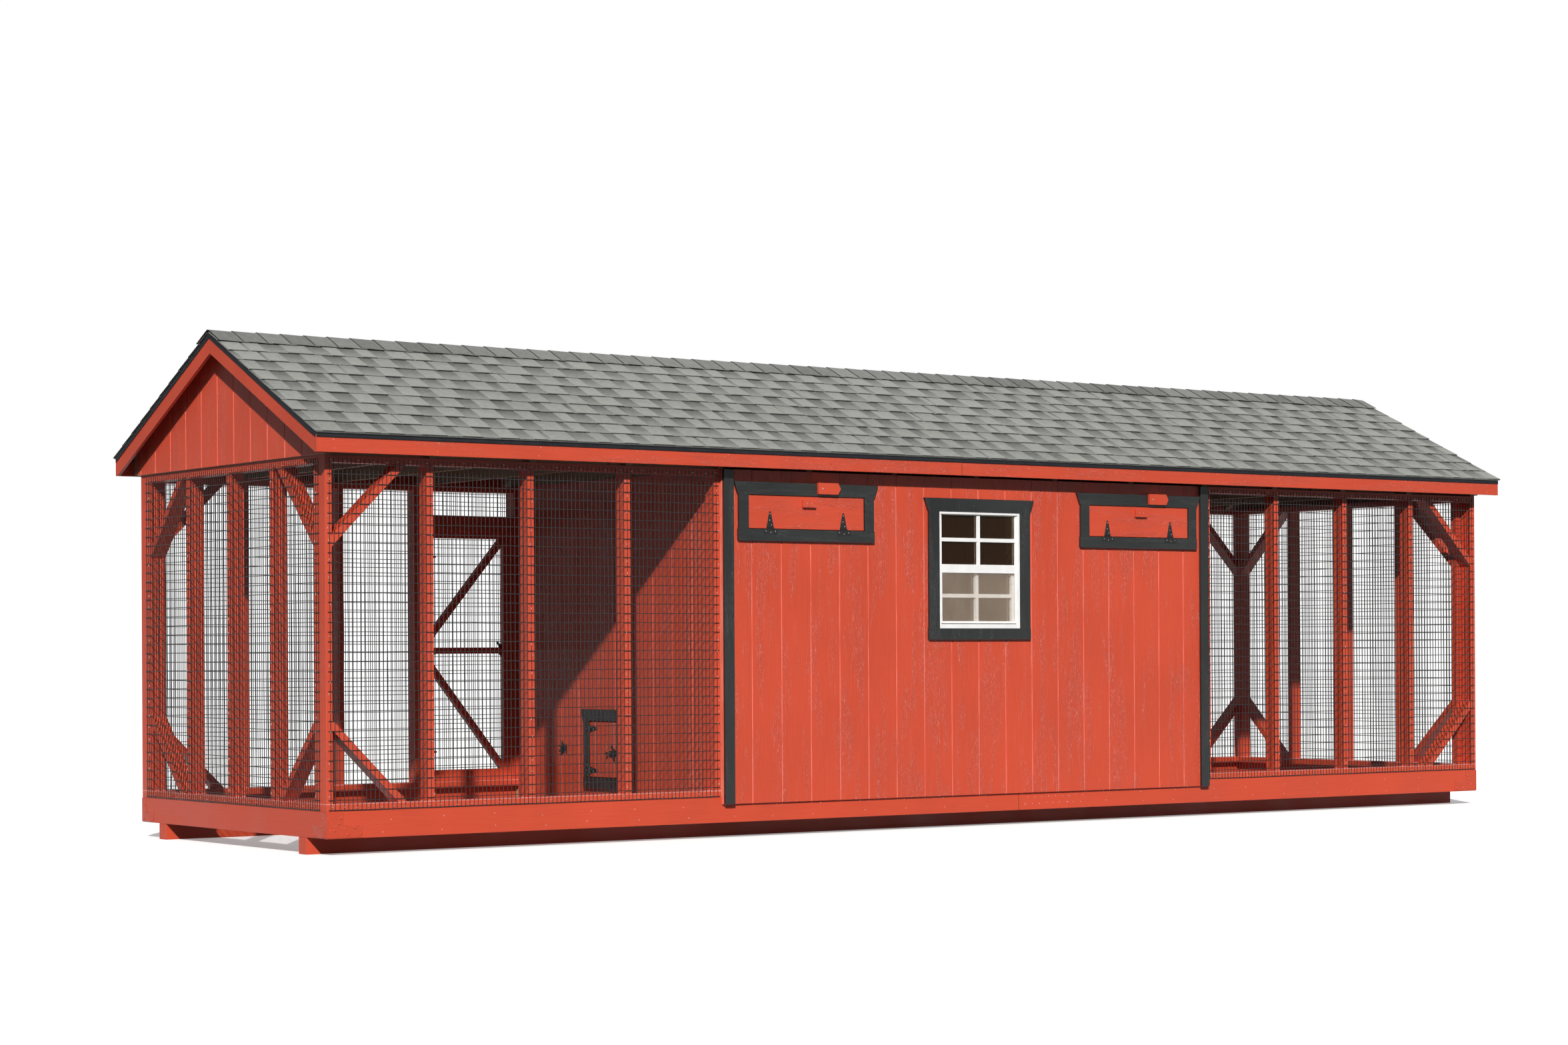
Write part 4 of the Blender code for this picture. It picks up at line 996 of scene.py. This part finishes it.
def wall_catch(name, place, body):
    """A hooked catch that takes the latch's arm."""
    shape = Shape()
    base = [(-1.1, -1.6), (0.3, -0.9), (1.3, -1.3), (1.3, 1.1), (0.2, 0.8), (-0.7, 1.9),
            (-1.2, 1.6), (-0.6, 0.3)]
    plate(shape, place, base, 0.0, CATCH_PLATE)
    block(shape, place, (-0.3, 0.1), (-0.8, 0.8), (CATCH_PLATE, 0.85))
    for hook in ((0.45, 0.8), (-0.8, -0.45)):
        block(shape, place, (-0.9, 0.1), hook, (0.72, 0.85))
    steel(shape, name, body)
    screws(f"{name}_screws", body, place, ((0.9, -0.8), (0.9, 0.7), (-0.85, 1.45)), CATCH_PLATE)


POP_HINGES = (13.6, 23.3)  # heights
POP_LATCH = 17.7
POP_CATCH_Y = 20.2


def pop_door_hardware():
    """The hens' doors' hinges and latches, and the catches on the wall beside them."""
    for hand, way in (("left", -1), ("right", 1)):
        door = f"pop_door_{hand}"
        line = hinge_line(f"{door}_hinge")
        outer = 0 if way < 0 else 1
        leaf = span(door)[outer].x
        seat = span(f"pop_door_trim_{hand}")[outer].x
        wall = span(f"siding_{hand}")[outer].x
        for i, up in enumerate(POP_HINGES):
            place = Place((line.x, line.y, up), (0, 0, 1), (way, 0, 0), (0, -1, 0))
            t_hinge(f"{door}_hinge_{i + 1}", place, door, 3.6, 1.7, 1.7,
                    abs(line.x - leaf), abs(line.x - seat))
        place = Place((leaf, span(door)[0].y + 1.9, POP_LATCH), (0, -1, 0), (way, 0, 0))
        gate_latch(f"{door}_latch", place, door)
        place = Place((wall, POP_CATCH_Y, POP_LATCH + 0.7), (0, -1, 0), (way, 0, 0))
        wall_catch(f"{door}_catch", place, "coop")


RUN_HINGES = (17.5, 41.0, 64.0)  # heights
RUN_LATCH = 41.8


def run_door_hardware():
    """The screen doors' hinges and latches, and the catches on the frames beside them."""
    for hand, way in (("left", -1), ("right", 1)):
        door = f"run_door_{hand}"
        line = hinge_line(f"{door}_hinge")
        low, high = span(door)
        for i, up in enumerate(RUN_HINGES):
            place = Place((line.x, line.y, up), (0, 0, 1), (0, 1, 0), (-way, 0, 0))
            t_hinge(f"{door}_hinge_{i + 1}", place, door, 6.0, 1.5, 1.6, line.y - high.y,
                    line.y - HALF_WIDTH)
        free = low.x if way > 0 else high.x
        place = Place((free + way * 1.9, high.y, RUN_LATCH), (-way, 0, 0), (0, 1, 0))
        gate_latch(f"{door}_latch", place, door)
        place = Place((free - way * 1.3, HALF_WIDTH, RUN_LATCH), (way, 0, 0), (0, 1, 0))
        wall_catch(f"{door}_catch", place, "coop")


STOP_FROM_LEAF = (0.06, 1.1)
STOP_LAP = 0.45
OPENING_GAP = 0.25


def door_stops():
    """Strips that the screen doors close against, behind the leaf and round its opening."""
    for hand in ("left", "right"):
        low, high = span(f"run_door_{hand}")
        sill = span(f"run_frame_{hand}_rear")[0].z + STUD + 0.01
        place = Place((0, low.y, 0), (1, 0, 0), (0, -1, 0))
        left, right = low.x - OPENING_GAP, high.x + OPENING_GAP
        top = high.z + OPENING_GAP
        shape = Shape()
        block(shape, place, (left, right), (high.z - STOP_LAP, top), STOP_FROM_LEAF)
        block(shape, place, (left, right), (sill, low.z + STOP_LAP), STOP_FROM_LEAF)
        for a, b in ((left, low.x + STOP_LAP), (high.x - STOP_LAP, right)):
            block(shape, place, (a, b), (low.z + STOP_LAP, high.z - STOP_LAP), STOP_FROM_LEAF)
        shape.piece(f"run_door_{hand}_stops", RED_UPRIGHT, "coop", "red_wood", edge=0.04)


BUTT_HALF = 1.9  # half of a butt hinge's height
BUTT_KNUCKLE = 0.62  # half the height of its leaf's knuckle
BUTT_RADIUS = 0.11
BUTT_THICK = 0.07


def butt_hinge(name, place, leaf_body, leaf_drop, seat_drop):
    """A butt hinge. The place's origin is on the pin; along points to the leaf."""
    whole = (-BUTT_HALF, BUTT_HALF)
    leaf = Shape()
    block(leaf, place, whole, (0.13, 0.62), (-leaf_drop, BUTT_THICK - leaf_drop))
    rod(leaf, place.point(-BUTT_KNUCKLE, 0, 0), place.point(BUTT_KNUCKLE, 0, 0), BUTT_RADIUS)
    steel(leaf, f"{name}_leaf", leaf_body, 0.012)
    seat = Shape()
    seat_face = BUTT_THICK - seat_drop
    block(seat, place, whole, (-1.05, -0.2), (-seat_drop, seat_face))
    for end in (-1, 1):
        tip = place.point(end * BUTT_HALF, 0, 0)
        rod(seat, place.point(end * (BUTT_KNUCKLE + 0.03), 0, 0), tip, BUTT_RADIUS)
        rod(seat, tip, place.point(end * (BUTT_HALF + 0.14), 0, 0), 0.08)
        screw_head(seat, place, end * 1.3, -0.65, seat_face, 0.1, 0.04)
    screw_head(seat, place, 0.0, -0.8, seat_face, 0.1, 0.04)
    steel(seat, f"{name}_seat", "coop", 0.012)


TRIM_WIDTH = 2.6
TRIM_THICK = 0.6
TRIM_GAP = 0.3  # between the door and its trim
TRIM_FOOT = 1.9  # how far the trim runs on below the door
TRIM_HEADER = 2.85
TRIM_EAR = 1.25  # how far the header's top runs on past the trim
TRIM_SLANT = 1.1
DOOR_RAIL = 3.5
RAIL_THICK = 0.42
RAIL_EDGE = 0.1
HINGE_SIDE = 1.0  # the leaf's edge that stays clear of boards, so that the door opens flat
COOP_HINGES = (16.0, 70.0)  # heights of the lowest and highest
HANDLE_UP = 2.0  # from the door's waist to the middle of its pull
LATCH_UP = 7.4
HANDLE_RADIUS = 0.27
HANDLE_HALF = 2.6
HANDLE_REACH = 1.3
HANDLE_PLATE = 0.09


def coop_door_trim(low, high, wall):
    """Two uprights and a header with slanted ends."""
    place = Place((0, wall + 0.01, 0), (1, 0, 0), (0, 1, 0))
    inner = high.x + TRIM_GAP
    top = high.z + TRIM_GAP
    trim = Shape()
    for way in (-1, 1):
        block(trim, place, sorted((way * inner, way * (inner + TRIM_WIDTH))),
              (low.z - TRIM_FOOT, top), (0, TRIM_THICK))
    ear = inner + TRIM_WIDTH + TRIM_EAR
    foot, head = top + 0.01, top + 0.01 + TRIM_HEADER
    outline = [(TRIM_SLANT - ear, foot), (ear - TRIM_SLANT, foot), (ear, head), (-ear, head)]
    plate(trim, place, outline, 0.0, TRIM_THICK)
    trim.piece("coop_door_trim", BLACK_UPRIGHT, "coop", "black_wood", edge=0.05)


def coop_door_boards(low, high, waist, x0, x1):
    """The stiles and rails on the door's face."""
    place = Place((0, high.y + 0.005, 0), (1, 0, 0), (0, 1, 0))
    bottom, top = low.z + RAIL_EDGE, high.z - RAIL_EDGE
    boards = Shape()
    for reach in ((x0, x0 + DOOR_RAIL), (x1 - DOOR_RAIL, x1)):
        block(boards, place, reach, (bottom, top), (0, RAIL_THICK))
    for at in (bottom, waist - DOOR_RAIL / 2, top - DOOR_RAIL):
        block(boards, place, (x0 + DOOR_RAIL + 0.02, x1 - DOOR_RAIL - 0.02),
              (at, at + DOOR_RAIL), (0, RAIL_THICK))
    boards.piece("coop_door_boards", BLACK_UPRIGHT, "coop_door", "black_wood", edge=0.05)


def coop_door_pull(place):
    """A bowed handle on a flat plate."""
    pull = Shape()
    block(pull, place, (-0.55, 0.55), (-3.6, 3.6), (0, HANDLE_PLATE))
    rings = []
    for i in range(9):
        angle = math.pi * i / 8
        rise = HANDLE_PLATE + HANDLE_REACH * math.sin(angle) ** 0.6 if 0 < i < 8 else 0.05
        centre = place.point(0, -HANDLE_HALF * math.cos(angle), rise)
        rings.append(circle(centre, place.across, place.along, HANDLE_RADIUS, 10))
    pull.loft(rings)
    steel(pull, "coop_door_pull", "coop_door")


def coop_door_hardware():
    """The black trim round the keeper's door, the door's own frame boards, hinges and pull."""
    low, high = span("coop_door")
    wall = span("siding_rear")[1].y
    waist = (low.z + high.z) / 2
    x0, x1 = low.x + HINGE_SIDE, high.x - RAIL_EDGE
    coop_door_trim(low, high, wall)
    coop_door_boards(low, high, waist, x0, x1)
    line = hinge_line("coop_door_hinge")
    for i, up in enumerate((COOP_HINGES[0], waist, COOP_HINGES[1])):
        place = Place((line.x, line.y, up), (0, 0, 1), (0, 1, 0), (1, 0, 0))
        butt_hinge(f"coop_door_hinge_{i + 1}", place, "coop_door", line.y - high.y,
                   line.y - wall - 0.01 - TRIM_THICK)
    face = high.y + RAIL_THICK
    coop_door_pull(Place((x1 - DOOR_RAIL / 2, face, waist + HANDLE_UP), (1, 0, 0), (0, 1, 0)))
    gate_latch("coop_door_latch", Place((x1 - 1.5, face, waist + LATCH_UP), (1, 0, 0), (0, 1, 0)),
               "coop_door")
    place = Place((high.x + TRIM_GAP + 1.35, wall + TRIM_THICK, waist + LATCH_UP), (-1, 0, 0),
                  (0, 1, 0))
    wall_catch("coop_door_catch", place, "coop")


PLATE_LONG = 8.1
PLATE_TALL = 2.6
PATCH_LONG = 3.8
RETURN_LONG = 6.0
RETURN_PATCH = 2.2
PLATE_THICK = 0.09


def corner_plates():
    """Painted steel plates that wrap each corner of the base, with their lag screws."""
    for end, way in (("left", -1), ("right", 1)):
        for side, sign in (("front", -1), ("rear", 1)):
            corner = Vector((way * HALF_LENGTH, sign * HALF_WIDTH, 0))
            z0 = BASE_LOW.z + 0.15
            z1, z2 = z0 + PLATE_TALL, BASE_TOP - 0.1
            shape = Shape()
            long_face = Place(corner, (-way, 0, 0), (0, sign, 0))
            outline = [(0.0, z0), (PLATE_LONG, z0), (PLATE_LONG, z1), (PATCH_LONG, z1),
                       (PATCH_LONG, z2), (0.0, z2)]
            plate(shape, long_face, outline, 0.01, PLATE_THICK)
            end_face = Place(corner, (0, -sign, 0), (way, 0, 0))
            outline = [(-PLATE_THICK, z0), (RETURN_LONG, z0), (RETURN_LONG, z1),
                       (RETURN_PATCH, z1 + 0.05), (RETURN_PATCH, z2), (-PLATE_THICK, z2)]
            plate(shape, end_face, outline, 0.01, PLATE_THICK)
            name = f"corner_plate_{side}_{end}"
            shape.piece(name, PAINTED_STEEL, "coop", "red_wood", edge=0.02)
            heads = Shape()
            for across, up in ((1.7, 1.5), (6.3, 2.0), (4.7, 0.7), (7.6, 0.7), (2.75, 2.9),
                               (3.2, 4.0)):
                screw_head(heads, long_face, across, z0 + up, PLATE_THICK, 0.26, 0.16, 6)
            for across, up in ((2.1, 2.2), (1.2, 0.5), (5.1, 0.5), (1.4, 3.8)):
                screw_head(heads, end_face, across, z0 + up, PLATE_THICK, 0.26, 0.16, 6)
            heads.piece(f"{name}_screws", PAINTED_STEEL, "coop", "red_wood")


BASE_NAILS = 12.0  # between the nails of a row
FASCIA_NAILS = 24.0


def nail_heads():
    """Nails along the base boards and fascias, and the double row where the base is joined."""
    shape = Shape()
    for sign in (-1, 1):
        base = Place((0, sign * HALF_WIDTH, 0), (1, 0, 0), (0, sign, 0))
        x = -HALF_LENGTH + 14.0
        while x < HALF_LENGTH - 12.0:
            screw_head(shape, base, x + waver(1.0), BASE_TOP - 1.8 + waver(0.5), 0.0, 0.10, 0.04)
            screw_head(shape, base, x + waver(1.5), BASE_LOW.z + 1.3 + waver(0.4), 0.0, 0.10, 0.04)
            x += BASE_NAILS
        for i in range(9):
            for up in (1.5, 3.0):
                screw_head(shape, base, BASE_JOINT + 1.4 + i * 2.1 + up / 2 + waver(0.1),
                           BASE_LOW.z + up + waver(0.1), 0.0, 0.09, 0.04)
        face = Place((0, sign * -FASCIA_LOW.y, 0), (1, 0, 0), (0, sign, 0))
        x = FASCIA_LOW.x + 3.0
        while x < FASCIA_HIGH.x - 2.0:
            for up in (0.8, 2.6):
                screw_head(shape, face, x + waver(0.4), FASCIA_LOW.z + up, 0.0, 0.08, 0.035)
            x += FASCIA_NAILS
    shape.piece("nail_heads", GALVANISED, "coop", "black_metal", smooth=True)


JAMB_THICK = 0.65
JAMB_DEPTH = 2.05  # from the window frame's back to the studs' inner face


def window_jambs():
    """Bare boards on the studs beside the window, behind its frame."""
    low, high = span("window_frame")
    place = Place((0, high.y, 0), (1, 0, 0), (0, -1, 0))
    outer = high.x + 0.1
    shape = Shape()
    for sign in (-1, 1):
        reach = sorted((sign * (outer - JAMB_THICK), sign * outer))
        block(shape, place, reach, (low.z, high.z), (-JAMB_DEPTH, -0.05))
    shape.piece("window_jambs", PINE_UPRIGHT, "coop", "bare_wood", edge=0.04)


SCREEN_DEPTH = 0.35
SCREEN_BAR = 0.42
SCREEN_FREE = 1.45  # from its top to the sash's


def insect_screen():
    """The half screen over the window's sliding sash, in its own slim frame."""
    low, high = span("window_lower_sash")
    front = span("window_frame")[0].y
    place = Place((0, (front + low.y + SCREEN_DEPTH) / 2, 0), (1, 0, 0), (0, -1, 0))
    x, z0, z1 = high.x - 0.05, low.z + 0.1, high.z - SCREEN_FREE
    inner = x - SCREEN_BAR
    shape = Shape()
    for reach in ((-x, -inner), (inner, x)):
        block(shape, place, reach, (z0, z1), (0, SCREEN_DEPTH))
    for foot in (z0, z1 - SCREEN_BAR):
        block(shape, place, (-inner, inner), (foot, foot + SCREEN_BAR),
              (0.01, SCREEN_DEPTH - 0.01))
    shape.piece("insect_screen_frame", VINYL, "coop", "white_vinyl", edge=0.04)
    sheet = Shape()
    middle = SCREEN_DEPTH * 0.45
    block(sheet, place, (-inner - 0.05, inner + 0.05),
          (z0 + SCREEN_BAR - 0.05, z1 - SCREEN_BAR + 0.05), (middle, middle + 0.02))
    sheet = sheet.piece("insect_screen_mesh", SCREEN, "coop", "black_metal")
    sheet.visible_shadow = False  # its shadow would darken the window more than the photo's


# The scene

aim_camera()
light_studio()
RED_UPRIGHT = painted_wood("red_upright", RED, "Z")
RED_FRAME = painted_wood("red_frame", RED, "Z", lit_top_edge=BASE_TOP + STUD)
RED_SIDING = painted_wood("red_siding", RED, "Z", 1.0,
                          grooves=(0, FRONT_GROOVE, 0.6), inside=(1, HALF_WIDTH + INNER_FACE))
RED_PARTITION = painted_wood("red_partition", RED, "Z", 1.0,
                             grooves=(1, PARTITION_GROOVE, 0.7),
                             inside=(0, HALF_COOP + INNER_FACE))
RED_GABLE = painted_wood("red_gable", GABLE_LIT_RED, "Z", 0.6, grooves=(1, GABLE_GROOVE, 1.0))
RED_LENGTHWISE = painted_wood("red_lengthwise", RED, "X")
RED_ACROSS = painted_wood("red_across", RED, "Y")
RED_BASE = painted_wood("red_base", RED, "X", 0.0, BASE_JOINT)
RED_FASCIA = painted_wood("red_fascia", RED, "X", 0.7, FASCIA_JOINT)
BLACK_UPRIGHT = painted_wood("black_upright", BLACK, "Z", 0.2, gloss=0.38)
BLACK_LENGTHWISE = painted_wood("black_lengthwise", BLACK, "X", 0.2, gloss=0.38)
PINE_UPRIGHT = bare_wood("pine_upright", PINE, "Z")
PINE_LENGTHWISE = bare_wood("pine_lengthwise", PINE, "X")
PINE_ACROSS = bare_wood("pine_across", PINE, "Y")
ROOF_TIMBER = bare_wood("roof_timber", ROOF_PINE_SHADED, "Y")
ROOF_SHEET = bare_wood("roof_sheet", ROOF_PINE_SHADED, "X")
SHINGLE = shingle_stone()
COATED_WIRE = coated_metal("coated_wire", INK, 0.46)
DRIP = coated_metal("drip_edge_paint", DRIP_PAINT, 0.42)
HARDWARE = coated_metal("black_hardware", HARDWARE_PAINT, 0.52, 0.0, 0.012)
ZINC = coated_metal("zinc_screws", STEEL, 0.38, 0.75)
GALVANISED = coated_metal("galvanised", WARM_STEEL, 0.45, 0.5)
PAINTED_STEEL = coated_metal("red_steel", tinted(RED, 0.90), 0.36)
VINYL = white_vinyl()
GLASS = window_glass()
SCREEN = insect_mesh()

NODE_FINISH = {
    "skid_": RED_LENGTHWISE, "base_board_front": RED_BASE, "base_board_rear": RED_BASE,
    "base_board_": RED_ACROSS, "coop_floor": PINE_LENGTHWISE, "run_frame_": RED_FRAME,
    "coop_wall_frame": PINE_UPRIGHT, "siding_": RED_SIDING, "siding_left": RED_PARTITION,
    "siding_right": RED_PARTITION, "gable_": RED_GABLE,
    "corner_board_": BLACK_UPRIGHT, "roof_trusses": ROOF_TIMBER, "roof_deck_": ROOF_SHEET,
    "fascia_": RED_FASCIA, "rake_boards_": RED_ACROSS, "window_trim": BLACK_UPRIGHT,
    "window_frame": VINYL, "window_lower_sash": VINYL, "window_upper_glass": GLASS,
    "window_lower_glass": GLASS, "vent_trim_": BLACK_LENGTHWISE, "vent_flap_": RED_FASCIA,
    "turn_button_": RED_UPRIGHT, "pop_door_trim_": BLACK_UPRIGHT, "pop_door_": RED_PARTITION,
    "run_door_": RED_UPRIGHT, "coop_door": RED_SIDING, "nest_boxes": PINE_LENGTHWISE,
    "roost": PINE_ACROSS,
}
REPLACED = ("wire_", "shingles_", "ridge_cap")
EASED = 0.06
FLOOR_DROP = 0.0005  # metres


def finish_nodes():
    """Gives each carried-over CAD node its finish and eased edges."""
    for name, obj in frame["nodes"].items():
        if name.startswith(REPLACED):
            continue
        key = max((k for k in NODE_FINISH if name.startswith(k)), key=len)
        obj.data.materials.clear()
        obj.data.materials.append(NODE_FINISH[key])
        if "glass" not in name:
            ease(obj, EASED)


def floor():
    data = bpy.data.meshes.new("floor")
    work = bmesh.new()
    bmesh.ops.create_grid(work, x_segments=8, y_segments=8, size=FLOOR_REACH)
    work.to_mesh(data)
    work.free()
    data.materials.append(floor_paper())
    obj = bpy.data.objects.new("floor", data)
    bpy.context.scene.collection.objects.link(obj)
    obj.location.z = -FLOOR_DROP
    obj.visible_diffuse = False  # its paleness doesn't light the coop from below


finish_nodes()
run_wires()
staples()
shingles("shingles_front", -1)
shingles("shingles_rear", 1)
ridge_caps()
drip_edges()
vent_hardware()
pop_door_hardware()
run_door_hardware()
door_stops()
coop_door_hardware()
corner_plates()
nail_heads()
window_jambs()
insect_screen()
floor()
